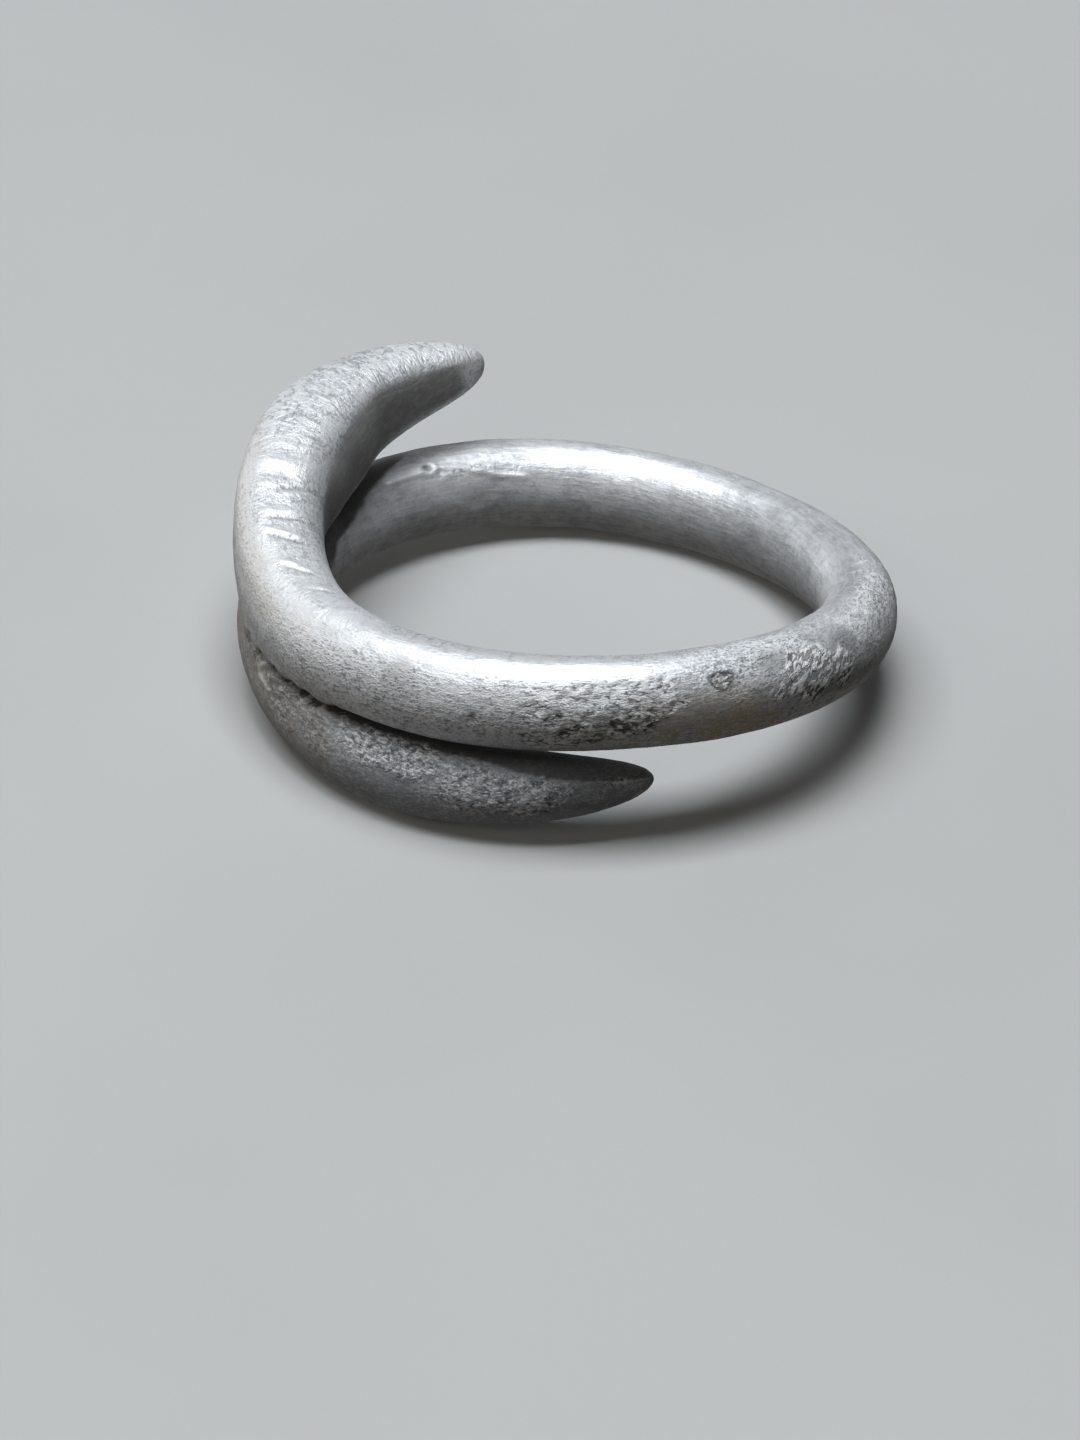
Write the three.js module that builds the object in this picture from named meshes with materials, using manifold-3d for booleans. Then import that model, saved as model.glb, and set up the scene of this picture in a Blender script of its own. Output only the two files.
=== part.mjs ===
// A finger ring made from one silver rod. The rod goes round the finger once, and its two tapered
// horns overlap for another half turn, one above the other, fused where they touch. It has no
// bezel, stone or engraving.
//
// Frame: millimetres, +Z up, the ring lying loose on a flat surface as it settles. +X points from
// the overlap to the plain back of the hoop. The origin is on the surface, below the middle.
//
// The turn angle runs along the rod, in degrees. It is 0 at the back of the hoop on +X, negative
// round the front to the upper horn, and positive round the rear to the lower horn.

import * as THREE from "three";
import { ConvexHull } from "three/addons/math/ConvexHull.js";
import { mergeVertices } from "three/addons/utils/BufferGeometryUtils.js";
import Module from "manifold-3d";

const wasm = await Module();
wasm.setup();

// Hoop and rod, in millimetres.
const BORE_DIAMETER = 18.3; // the clear width for the finger
const ROD_THICKNESS = 3.1; // the rod at the hoop's back
const UPPER_THICKNESS = 4.07; // what the rod swells to towards the upper horn
const LOWER_THICKNESS = 3.03; // the same towards the lower horn

// The rod's section: an oval, taller along the finger than it is deep, leaning a little outwards.
const OVAL_SHARE = 0.085;
const OVAL_LEAN_DEG = -14.7;
const UPPER_SWELL_DEG = 317;
const LOWER_SWELL_DEG = 243;

// The two horns: how far round each tip lies, and the length and form of its taper. A roundness
// of 2 makes half an ellipsoid, less makes a point and more makes a blunt end.
const UPPER_TURN_DEG = 267.9;
const LOWER_TURN_DEG = 271.9;
const UPPER_TAPER_LENGTH = 8.4;
const LOWER_TAPER_LENGTH = 12;
const UPPER_TIP_ROUNDNESS = 1.24;
const LOWER_TIP_ROUNDNESS = 2.75;

// How the horns part past the seam: each spreads away from the other over a stretch of the turn,
// then curls up along the finger, and its bend opens (+) or closes (-).
const UPPER_SPREAD = 1.83;
const LOWER_SPREAD = 1.37;
const UPPER_SPREAD_START_DEG = 160;
const UPPER_SPREAD_END_DEG = 229;
const LOWER_SPREAD_START_DEG = 141;
const LOWER_SPREAD_END_DEG = 232;
const UPPER_CURL = 0.85;
const LOWER_CURL = 0.41;
const CURL_START_DEG = 200;
const UPPER_FLARE = 0.39;
const LOWER_FLARE = -0.24;
const FLARE_START_DEG = 190;
const FLARE_LENGTH_DEG = 75;

// The seam, where the strands are fused: how far round towards the upper horn its middle lies, and
// how deep the strands bite into each other there.
const SEAM_TURN_DEG = 178;
const SEAM_BITE = 0.63;

// The hoop is a little sprung, like the rim of a saddle.
const WARP_HEIGHT = 0.39;
const WARP_TURN_DEG = 109;

// The depth of the small worn spots that the ring lies on.
const WORN_DEPTH = 0.08;

// Facets: sides round the rod, and the stations along each half of it, on the even run from the
// hoop's back and on the taper.
const ROD_SIDES = 24;
const RUN_STATIONS = 50;
const TAPER_STATIONS = 14;

const TO_RADIANS = Math.PI / 180;
const FULL_TURN_DEG = 360;
const HALF_TURN_DEG = 180;
const COIL_RADIUS = (BORE_DIAMETER + ROD_THICKNESS) / 2;
const BACKWARDS = -1; // the upper horn's way round
const ONWARDS = 1; // the lower horn's way round
const DOWN = new THREE.Vector3(0, 0, -1);
const SAME_POINT = 1e-4; // corners closer than this are one
const ANGLE_STEP_DEG = 0.01; // for the direction in which the rod runs

const silver = new THREE.MeshStandardMaterial({ color: 0xb9bcc0, roughness: 0.42, metalness: 0.85 });

// Rises from 0 to 1 with level, straight-bending ends.
function smoothRise(x) {
  return THREE.MathUtils.smootherstep(x, 0, 1);
}

const HORNS = {
  [BACKWARDS]: {
    turn: UPPER_TURN_DEG,
    thickness: UPPER_THICKNESS,
    swell: UPPER_SWELL_DEG,
    taper: UPPER_TAPER_LENGTH,
    roundness: UPPER_TIP_ROUNDNESS,
    spread: UPPER_SPREAD,
    spreadStart: UPPER_SPREAD_START_DEG,
    spreadEnd: UPPER_SPREAD_END_DEG,
    curl: UPPER_CURL,
    flare: UPPER_FLARE,
  },
  [ONWARDS]: {
    turn: LOWER_TURN_DEG,
    thickness: LOWER_THICKNESS,
    swell: LOWER_SWELL_DEG,
    taper: LOWER_TAPER_LENGTH,
    roundness: LOWER_TIP_ROUNDNESS,
    spread: LOWER_SPREAD,
    spreadStart: LOWER_SPREAD_START_DEG,
    spreadEnd: LOWER_SPREAD_END_DEG,
    curl: LOWER_CURL,
    flare: LOWER_FLARE,
  },
};

// The rod's mean radius where it has gone the given angle round towards a horn.
function rodRadius(horn, angle) {
  const swelling = ((horn.thickness - ROD_THICKNESS) / 2) * smoothRise(angle / horn.swell);
  const toTip = (horn.turn - angle) * TO_RADIANS * COIL_RADIUS;
  const share = Math.max(0, 1 - Math.max(0, toTip) / horn.taper);
  return (ROD_THICKNESS / 2 + swelling) * Math.sqrt(Math.max(0, 1 - share ** horn.roundness));
}

// How far a horn has spread from the hoop's own plane at an angle.
function spreadAt(horn, angle) {
  return horn.spread * smoothRise((angle - horn.spreadStart) / (horn.spreadEnd - horn.spreadStart));
}

// The coil climbs slowly all the way round, just enough that the strands bite at the seam.
function slowClimb() {
  const upper = HORNS[BACKWARDS];
  const lower = HORNS[ONWARDS];
  const partner = FULL_TURN_DEG - SEAM_TURN_DEG;
  const heights = (rodRadius(upper, SEAM_TURN_DEG) + rodRadius(lower, partner)) * (1 + OVAL_SHARE);
  const spreads = spreadAt(upper, SEAM_TURN_DEG) + spreadAt(lower, partner);
  return (heights - SEAM_BITE - spreads) / 2;
}

const SLOW_CLIMB = slowClimb();

// The rod's centre line at a distance round the coil, one way or the other.
function centreLine(way, angle, target = new THREE.Vector3()) {
  const horn = HORNS[way];
  const azimuth = way * angle * TO_RADIANS;
  const pastCurl = Math.max(0, angle - CURL_START_DEG) / (horn.turn - CURL_START_DEG);
  const warp = WARP_HEIGHT * Math.cos(2 * (azimuth - WARP_TURN_DEG * TO_RADIANS));
  const apart = spreadAt(horn, angle) + (SLOW_CLIMB * angle) / HALF_TURN_DEG;
  const radius = COIL_RADIUS + horn.flare * smoothRise((angle - FLARE_START_DEG) / FLARE_LENGTH_DEG);
  const height = warp - way * apart + horn.curl * pastCurl ** 2;
  return target.set(radius * Math.cos(azimuth), radius * Math.sin(azimuth), height);
}

// The rod's own axes at a place on the centre line: outwards across the rod, and up along the
// finger, both square to the rod's run and turned by the section's lean.
function sectionAxes(way, angle) {
  const ahead = centreLine(way, angle + ANGLE_STEP_DEG);
  const run = ahead.sub(centreLine(way, angle - ANGLE_STEP_DEG)).normalize();
  const azimuth = way * angle * TO_RADIANS;
  const outwards = new THREE.Vector3(Math.cos(azimuth), Math.sin(azimuth), 0);
  outwards.addScaledVector(run, -outwards.dot(run)).normalize();
  const upwards = new THREE.Vector3().crossVectors(outwards, run).multiplyScalar(way);
  const lean = OVAL_LEAN_DEG * TO_RADIANS * smoothRise(angle / HALF_TURN_DEG);
  return {
    deep: outwards.clone().multiplyScalar(Math.cos(lean)).addScaledVector(upwards, Math.sin(lean)),
    tall: upwards.clone().multiplyScalar(Math.cos(lean)).addScaledVector(outwards, -Math.sin(lean)),
  };
}

// The angles of the stations along one half: evenly spaced up to the taper, then closer and closer
// together towards the tip, as round a quarter of an ellipse.
function stationAngles(horn) {
  const taperAngle = horn.taper / COIL_RADIUS / TO_RADIANS;
  const angles = [];
  for (let i = 0; i < RUN_STATIONS; i++) {
    angles.push(((horn.turn - taperAngle) * i) / RUN_STATIONS);
  }
  for (let i = 0; i <= TAPER_STATIONS; i++) {
    const share = Math.sin((Math.PI / 2) * (i / TAPER_STATIONS));
    angles.push(horn.turn - taperAngle * (1 - share));
  }
  return angles;
}

// Half of the rod: a round bar along Y, turned on a lathe from the hoop's back to the tip, whose
// stations are then set round the coil. Its Y is the angle, and a station's points keep their
// place round the bar.
function halfRod(way) {
  const horn = HORNS[way];
  const profile = stationAngles(horn).map((angle) => new THREE.Vector2(rodRadius(horn, angle), angle));
  profile.unshift(new THREE.Vector2(0, 0));
  profile.at(-1).x = 0;
  const bar = new THREE.LatheGeometry(profile, ROD_SIDES);
  const points = bar.attributes.position;
  const p = new THREE.Vector3();
  for (let i = 0; i < points.count; i++) {
    const angle = points.getY(i);
    const { deep, tall } = sectionAxes(way, angle);
    centreLine(way, angle, p);
    p.addScaledVector(deep, points.getX(i) * (1 - OVAL_SHARE));
    p.addScaledVector(tall, points.getZ(i) * (1 + OVAL_SHARE) * way);
    points.setXYZ(i, p.x, p.y, p.z);
  }
  return solidOf(bar);
}

// A closed geometry as a solid that can be joined or cut.
function solidOf(geometry) {
  geometry.deleteAttribute("normal");
  geometry.deleteAttribute("uv");
  const merged = mergeVertices(geometry, SAME_POINT);
  return new wasm.Manifold(
    new wasm.Mesh({
      numProp: 3,
      vertProperties: merged.attributes.position.array,
      triVerts: new Uint32Array(merged.index.array),
    }),
  );
}

// A solid as a geometry again.
function geometryOf(solid) {
  const mesh = solid.getMesh();
  const geometry = new THREE.BufferGeometry();
  geometry.setAttribute("position", new THREE.BufferAttribute(new Float32Array(mesh.vertProperties), 3));
  geometry.setIndex(new THREE.BufferAttribute(new Uint32Array(mesh.triVerts), 1));
  return geometry;
}

// A solid's corners, one after the other.
function cornersOf(solid) {
  const { vertProperties } = solid.getMesh();
  const corners = [];
  for (let i = 0; i < vertProperties.length; i += 3) {
    corners.push(new THREE.Vector3().fromArray(vertProperties, i));
  }
  return corners;
}

// A solid's centre of mass, summed over the wedges between each face and the origin.
function centreOf(solid) {
  const corners = cornersOf(solid);
  const { triVerts } = solid.getMesh();
  const centre = new THREE.Vector3();
  const cross = new THREE.Vector3();
  let volume = 0;
  for (let i = 0; i < triVerts.length; i += 3) {
    const [a, b, c] = [corners[triVerts[i]], corners[triVerts[i + 1]], corners[triVerts[i + 2]]];
    const wedge = a.dot(cross.crossVectors(b, c)) / 6;
    centre.addScaledVector(a, wedge / 4).addScaledVector(b, wedge / 4).addScaledVector(c, wedge / 4);
    volume += wedge;
  }
  return centre.divideScalar(volume);
}

// The facet of a hull that a line from its inside meets on its way along a direction.
function facetTowards(hull, from, direction) {
  let nearest = Infinity;
  let met = null;
  for (const facet of hull.faces) {
    const facing = facet.normal.dot(direction);
    if (facing <= 0) continue;
    const distance = -facet.distanceToPoint(from) / facing;
    if (distance < nearest) {
      nearest = distance;
      met = facet;
    }
  }
  return met;
}

// The turn that lays a solid down as it comes to rest: it tips onto the facet of its hull that is
// straight below its centre of mass, until that facet holds it.
function restingTurn(solid) {
  const hull = new ConvexHull().setFromPoints(cornersOf(solid));
  const centre = centreOf(solid);
  let facet = facetTowards(hull, centre, DOWN);
  let below = facetTowards(hull, centre, facet.normal);
  while (below !== facet) {
    facet = below;
    below = facetTowards(hull, centre, facet.normal);
  }
  return new THREE.Quaternion().setFromUnitVectors(facet.normal, DOWN);
}

// The solid turned as it rests, with its lowest point at the height of the surface.
function laidDown(solid) {
  const geometry = geometryOf(solid).applyQuaternion(restingTurn(solid));
  geometry.computeBoundingBox();
  return solidOf(geometry.translate(0, 0, -geometry.boundingBox.min.z));
}

// The small worn spots under the places that touch the surface: a slab as wide as the ring cuts
// them off level.
function wornBelow(solid) {
  const { min, max } = solid.boundingBox();
  const wide = 2 * (max[0] - min[0]);
  const slab = new THREE.BoxGeometry(wide, wide, WORN_DEPTH);
  slab.translate((min[0] + max[0]) / 2, (min[1] + max[1]) / 2, WORN_DEPTH / 2);
  return solid.subtract(solidOf(slab));
}

// The whole ring: both halves of the rod, fused at the hoop's back and at the seam.
function coilRing() {
  const rod = halfRod(BACKWARDS).add(halfRod(ONWARDS));
  const geometry = geometryOf(wornBelow(laidDown(rod)));
  geometry.computeBoundingBox();
  const { min, max } = geometry.boundingBox;
  geometry.translate(-(min.x + max.x) / 2, -(min.y + max.y) / 2, -min.z);
  const mesh = new THREE.Mesh(geometry, silver);
  mesh.name = "coil_ring";
  return mesh;
}

const ring = new THREE.Group();
ring.add(coilRing());

export default ring;
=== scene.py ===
"""Dresses the coiled silver finger ring: its worn, corroded surface, a pale floor and a soft studio.

The ring is one rod, wound round the finger once, whose two tapered horns overlap for another half
turn. Places on it are given by the turn, in degrees along the rod, and the way round the rod.
The turn is 0 at the plain back of the hoop on +X, negative round the front to the upper horn and
positive round the rear to the lower horn. Round the rod, 0 faces away from the finger, 90 up,
180 the finger and -90 down. Lengths in the formulas are millimetres until the mesh is written.
"""

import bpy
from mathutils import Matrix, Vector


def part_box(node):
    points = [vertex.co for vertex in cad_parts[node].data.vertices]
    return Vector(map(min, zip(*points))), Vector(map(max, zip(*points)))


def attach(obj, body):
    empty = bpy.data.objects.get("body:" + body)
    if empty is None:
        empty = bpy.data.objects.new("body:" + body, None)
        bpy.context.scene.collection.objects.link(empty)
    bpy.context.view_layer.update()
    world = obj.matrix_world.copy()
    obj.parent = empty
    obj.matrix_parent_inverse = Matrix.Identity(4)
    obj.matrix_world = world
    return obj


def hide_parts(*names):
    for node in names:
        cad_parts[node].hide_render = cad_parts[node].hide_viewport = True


bl_info = {
    "name": "Coiled Silver Ring",
    "version": (1, 0, 0),
    "blender": (4, 5, 0),
    "location": "View3D > Sidebar > Coiled Ring",
    "description": "Makes an old silver ring wound from one tapered rod, with its studio",
    "category": "Add Mesh",
}

import itertools
import math

import bmesh
import bpy
import numpy as np
from bpy.props import FloatProperty, FloatVectorProperty, PointerProperty
from mathutils import Matrix, Vector

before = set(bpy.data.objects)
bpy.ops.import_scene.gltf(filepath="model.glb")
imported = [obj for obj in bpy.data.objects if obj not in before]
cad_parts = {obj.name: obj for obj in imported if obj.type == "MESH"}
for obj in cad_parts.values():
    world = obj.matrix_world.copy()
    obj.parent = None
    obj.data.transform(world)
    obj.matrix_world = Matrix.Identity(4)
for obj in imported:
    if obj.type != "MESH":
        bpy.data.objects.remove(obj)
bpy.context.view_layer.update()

NODE = "coil_ring"
BODY = "root"
MM = 0.001

# The two horns, one row for the upper and one for the lower: how far round the tip lies, where the
# rod's swelling would end, the length and roundness of the taper, how far and over which stretch
# the horn spreads from the hoop, how far it curls up, and how far its bend opens or closes.
UPPER, LOWER = 0, 1
TIP_TURN = np.array([267.9, 271.9])
SWELL_TURN = np.array([317.0, 243.0])
TAPER_LENGTH = np.array([8.4, 12.0])
TIP_ROUNDNESS = np.array([1.24, 2.75])
SPREAD = np.array([1.83, 1.37])
SPREAD_START = np.array([160.0, 141.0])
SPREAD_END = np.array([229.0, 232.0])
CURL = np.array([0.85, 0.41])
FLARE = np.array([0.39, -0.24])
CURL_START = 200.0
FLARE_START = 190.0
FLARE_STRETCH = 75.0
OVAL_SHARE = 0.085
OVAL_LEAN = -14.7
SEAM_TURN = 178.0
WARP_HEIGHT = 0.39
WARP_TURN = 109.0

# The grid of the surface: rings along the rod and columns round it.
RINGS = 936
COLUMNS = 104
TIP_CROWDING = 0.055
FINE_STRETCH = (-150.0, -10.0)
FINE_FADE = 20.0
FINE_SHARE = 0.6

# The facets of the CAD rod: sides round it, and stations along each half's run and taper.
CAD_SIDES = 24
CAD_RUN_STATIONS = 50
CAD_TAPER_STATIONS = 14

HALF_TURN = 180.0
WHOLE_TURN = 360.0


class RodSizes(bpy.types.PropertyGroup):
    """The sizes of the hoop and its rod."""

    bore_diameter: FloatProperty(
        name="Opening", description="Clear width for the finger",
        default=0.0183, subtype="DISTANCE", precision=5,
    )
    rod_thickness: FloatProperty(
        name="Rod", description="Thickness at the hoop's back",
        default=0.0031, subtype="DISTANCE", precision=5,
    )
    upper_thickness: FloatProperty(
        name="Upper rod", description="What the rod swells to towards the upper horn",
        default=0.00407, subtype="DISTANCE", precision=5,
    )
    lower_thickness: FloatProperty(
        name="Lower rod", description="What the rod comes to towards the lower horn",
        default=0.00303, subtype="DISTANCE", precision=5,
    )
    seam_bite: FloatProperty(
        name="Seam bite", description="How deep the two strands sink into each other at the seam",
        default=0.00063, subtype="DISTANCE", precision=5,
    )
    worn_depth: FloatProperty(
        name="Worn depth", description="Depth of the worn spots that the ring lies on",
        default=0.00008, subtype="DISTANCE", precision=5,
    )


class SilverFinish(bpy.types.PropertyGroup):
    """The colours and the grain of the old silver."""

    bright: FloatVectorProperty(
        name="Bright", description="Clean worn silver",
        default=(0.88, 0.89, 0.91), subtype="COLOR", size=3,
    )
    dull: FloatVectorProperty(
        name="Dull", description="Silver with a grey skin",
        default=(0.42, 0.44, 0.47), subtype="COLOR", size=3,
    )
    # The patina colour also paints the shade on the upper horn's inner face, in the recess, under the
    # front band and at the lower tip.
    patina: FloatVectorProperty(
        name="Patina", description="Dark skin in pits and cracks",
        default=(0.060, 0.056, 0.052), subtype="COLOR", size=3,
    )
    warm: FloatVectorProperty(
        name="Warm", description="Thin warm film near the seam",
        default=(0.60, 0.55, 0.47), subtype="COLOR", size=3,
    )
    crystal: FloatVectorProperty(
        name="Crystal", description="Light crusted crystals",
        default=(0.95, 0.95, 0.95), subtype="COLOR", size=3,
    )
    stain: FloatVectorProperty(
        name="Stain", description="Yellow-brown stain",
        default=(0.56, 0.49, 0.31), subtype="COLOR", size=3,
    )
    grain: FloatProperty(
        name="Grain", description="Strength of the finest grain",
        default=0.5, min=0.0, max=1.0, subtype="FACTOR",
    )


class StudioSettings(bpy.types.PropertyGroup):
    """The floor, the lights and the camera."""

    floor: FloatVectorProperty(
        name="Floor", description="Colour of the floor",
        default=(0.50, 0.50, 0.495), subtype="COLOR", size=3,
    )
    key_colour: FloatVectorProperty(
        name="Key colour", description="Colour of the key light",
        default=(0.93, 0.97, 1.0), subtype="COLOR", size=3,
    )
    fill_colour: FloatVectorProperty(
        name="Fill colour", description="Colour of the weak light",
        default=(1.0, 0.96, 0.91), subtype="COLOR", size=3,
    )
    key_glow: FloatProperty(
        name="Key light", description="Radiance of the light overhead",
        default=12.9, min=0.0,
    )
    left_glow: FloatProperty(
        name="Left light", description="Radiance of the light high on the left", default=8.0, min=0.0
    )
    low_glow: FloatProperty(
        name="Low lights", description="Radiance of the two low lights on the left", default=2.4, min=0.0
    )
    front_glow: FloatProperty(
        name="Front light", description="Radiance of the weak light in front", default=1.2, min=0.0
    )
    rear_glow: FloatProperty(
        name="Rear light", description="Radiance of the weak light at the right rear",
        default=0.75, min=0.0,
    )
    surround: FloatProperty(
        name="Surround", description="Strength of the dim light that comes back from below",
        default=0.07, min=0.0,
    )
    lens: FloatProperty(
        name="Focal length", description="Focal length on a 36 mm sensor",
        default=204.0, subtype="DISTANCE_CAMERA",
    )


def smooth_rise(x):
    """Rises from 0 to 1 as x does, level at both ends: 6x^5 - 15x^4 + 10x^3."""
    x = np.clip(x, 0.0, 1.0)
    return x * x * x * (x * (6.0 * x - 15.0) + 10.0)


def between(x, span, fades):
    """1 well inside a span and 0 outside it, with a smooth rise at its start and fall at its end."""
    return smooth_rise((x - span[0]) / fades[0]) * smooth_rise((span[1] - x) / fades[1])


def bell(x):
    """A bell of height 1 round 0: e to the minus x squared."""
    return np.exp(-x * x)


def noise_table(seed, count=256):
    """That many directions of length 1, drawn once from a seed."""
    draws = np.random.default_rng(seed).normal(size=(count, 3))
    return draws / np.linalg.norm(draws, axis=1, keepdims=True)


GRADIENTS = noise_table(7)
CELL_STEPS = np.array([73856093, 19349663, 83492791])
HASH_FACTOR = 1274126177
SEED_SHIFT = 17.31
NOISE_GAIN = 1.6


def noise(points, cell, seed=0):
    """Smooth noise, about -1 to 1, with features as long as cell, a number or one for each axis.

    Each corner of a cubic cell has a direction picked by a hash of its place. The value is the
    product of that direction and the way from the corner, mixed over the eight corners.
    """
    points = points / np.asarray(cell, float) + seed * SEED_SHIFT
    corner = np.floor(points).astype(np.int64)
    inside = points - corner
    fade = smooth_rise(inside)
    total = np.zeros(points.shape[:-1])
    for step in itertools.product((0, 1), repeat=3):
        step = np.array(step)
        key = (corner + step) @ CELL_STEPS
        key = (key ^ (key >> 13)) * HASH_FACTOR
        direction = GRADIENTS[(key ^ (key >> 16)) % len(GRADIENTS)]
        share = np.prod(np.where(step, fade, 1.0 - fade), axis=-1)
        total += share * np.sum(direction * (inside - step), axis=-1)
    return total * NOISE_GAIN


def layered_noise(points, cell, layers, seed=0):
    """Noise with finer and weaker layers on top: each has half the features' length and strength."""
    cell = np.asarray(cell, float)
    return sum(noise(points, cell / 2**i, seed + i) / 2**i for i in range(layers))


class Rod:
    """The rod's form in the ring's own frame, whose Z runs along the finger."""

    def __init__(self, sizes):
        self.thickness = sizes.rod_thickness / MM
        self.swollen = np.array([sizes.upper_thickness, sizes.lower_thickness]) / MM
        self.coil_radius = (sizes.bore_diameter / MM + self.thickness) / 2
        seam = np.array([-SEAM_TURN, WHOLE_TURN - SEAM_TURN])
        heights = self.radius(seam).sum() * (1 + OVAL_SHARE) - sizes.seam_bite / MM
        self.climb = (heights - self.spread(seam).sum()) / 2

    def horn(self, turn):
        """Which horn a turn leads to."""
        return np.where(turn < 0, UPPER, LOWER)

    def radius(self, turn):
        """The rod's mean radius: it swells along a smooth rise, and at the taper it shrinks by the
        root of 1 minus the share of the taper to the power of its roundness."""
        horn = self.horn(turn)
        angle = np.abs(turn)
        swelling = (self.swollen[horn] - self.thickness) / 2 * smooth_rise(angle / SWELL_TURN[horn])
        to_tip = np.radians(TIP_TURN[horn] - angle) * self.coil_radius
        share = np.clip(1 - np.clip(to_tip, 0, None) / TAPER_LENGTH[horn], 0, 1)
        return (self.thickness / 2 + swelling) * np.sqrt(1 - share ** TIP_ROUNDNESS[horn])

    def spread(self, turn):
        """How far a horn has spread from the hoop."""
        horn = self.horn(turn)
        stretch = SPREAD_END[horn] - SPREAD_START[horn]
        return SPREAD[horn] * smooth_rise((np.abs(turn) - SPREAD_START[horn]) / stretch)

    def centre(self, turn):
        """The centre line: a circle of the coil's radius that opens or closes at the horns. Its
        height is the slow climb, the spread, a saddle-like warp and the horns' curl."""
        horn = self.horn(turn)
        angle = np.abs(turn)
        azimuth = np.radians(turn)
        past = np.clip(angle - CURL_START, 0, None) / (TIP_TURN[horn] - CURL_START)
        warp = WARP_HEIGHT * np.cos(2 * (azimuth - np.radians(WARP_TURN)))
        apart = self.spread(turn) + self.climb * angle / HALF_TURN
        height = warp + np.where(turn < 0, apart, -apart) + CURL[horn] * past**2
        radius = self.coil_radius + FLARE[horn] * smooth_rise((angle - FLARE_START) / FLARE_STRETCH)
        return np.stack([radius * np.cos(azimuth), radius * np.sin(azimuth), height], axis=-1)

    def axes(self, turn):
        """Two directions square to the rod's run: outwards and up, turned by the oval's lean."""
        step = 0.01
        run = self.centre(turn + step) - self.centre(turn - step)
        run /= np.linalg.norm(run, axis=-1, keepdims=True)
        azimuth = np.radians(turn)
        outwards = np.stack([np.cos(azimuth), np.sin(azimuth), 0 * azimuth], axis=-1)
        outwards -= np.sum(outwards * run, axis=-1, keepdims=True) * run
        outwards /= np.linalg.norm(outwards, axis=-1, keepdims=True)
        upwards = np.cross(outwards, run)
        lean = np.radians(OVAL_LEAN) * smooth_rise(np.abs(turn) / HALF_TURN)[..., None]
        deep = outwards * np.cos(lean) + upwards * np.sin(lean)
        tall = upwards * np.cos(lean) - outwards * np.sin(lean)
        return deep, tall

    def blunt_tip(self, turn, around):
        """The upper tip's extra radius: a share of it that falls away with the distance from it,
        and is greatest on the tip's lower side, by the cosine of the way round from there."""
        to_tip = np.radians(TIP_TURN[UPPER] + turn) * self.coil_radius
        lower = np.clip(np.cos(np.radians(around - TIP_FULL_SIDE)), 0, None)
        return 1 + (TIP_BLUNTNESS + TIP_FULLNESS * lower) * np.exp(-to_tip / TIP_BLUNT_LENGTH)

    def surface(self, turn, around, swell=1.0):
        """Centre line plus the oval: the cosine of the way round goes along the deep axis, the
        sine along the tall one."""
        deep, tall = self.axes(turn)
        radius = (self.radius(turn) * swell)[..., None]
        x = np.cos(np.radians(around))[..., None] * (1 - OVAL_SHARE)
        y = np.sin(np.radians(around))[..., None] * (1 + OVAL_SHARE)
        return self.centre(turn) + radius * (deep * x + tall * y)

    def bar(self, turn, around):
        """The same places on the straight bar before it is bent: length along, then two across."""
        radius = self.radius(turn)
        angle = np.radians(around)
        along = np.radians(turn) * self.coil_radius
        return np.stack([along, radius * np.cos(angle), radius * np.sin(angle)], axis=-1)


def ring_turns():
    """The turns of the rings: closer together on the corroded front, and closer and closer to the
    tips, as round a quarter of an ellipse."""
    ends = np.array([-TIP_TURN[UPPER], TIP_TURN[LOWER]])
    fine = np.linspace(ends[0], ends[1], 4000)
    crowd = 1 + FINE_SHARE * smooth_rise((fine - FINE_STRETCH[0]) / FINE_FADE + 0.5)
    crowd -= FINE_SHARE * smooth_rise((fine - FINE_STRETCH[1]) / FINE_FADE + 0.5)
    share = (fine - ends[0]) / (ends[1] - ends[0])
    crowd *= 1 + TIP_CROWDING / np.sqrt(share * (1 - share) + 1e-6)
    count = np.cumsum(crowd)
    count = (count - count[0]) / (count[-1] - count[0])
    return np.interp(np.linspace(0, 1, RINGS + 2), count, fine)


def way_round(around, centre):
    """How far a place lies from another round the rod, from -180 to 180 degrees."""
    return (around - centre + HALF_TURN) % WHOLE_TURN - HALF_TURN


def patch(turn, around, ragged, place):
    """A patch's strength inside it and 0 outside it, in degrees along and round the rod.

    The distance is the sum of both shares of the half sizes, each to the power of the squareness,
    pushed in and out by a ragged noise, and the edge is a smooth step.
    """
    strength, raggedness, middle, half, edge, squareness = place
    x = np.abs(turn - middle[0]) / half[0]
    y = np.abs(way_round(around, middle[1])) / half[1]
    distance = (x**squareness + y**squareness) ** (1 / squareness) + raggedness * ragged
    return strength * smooth_rise((1 - distance) / edge + 0.5)


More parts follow.
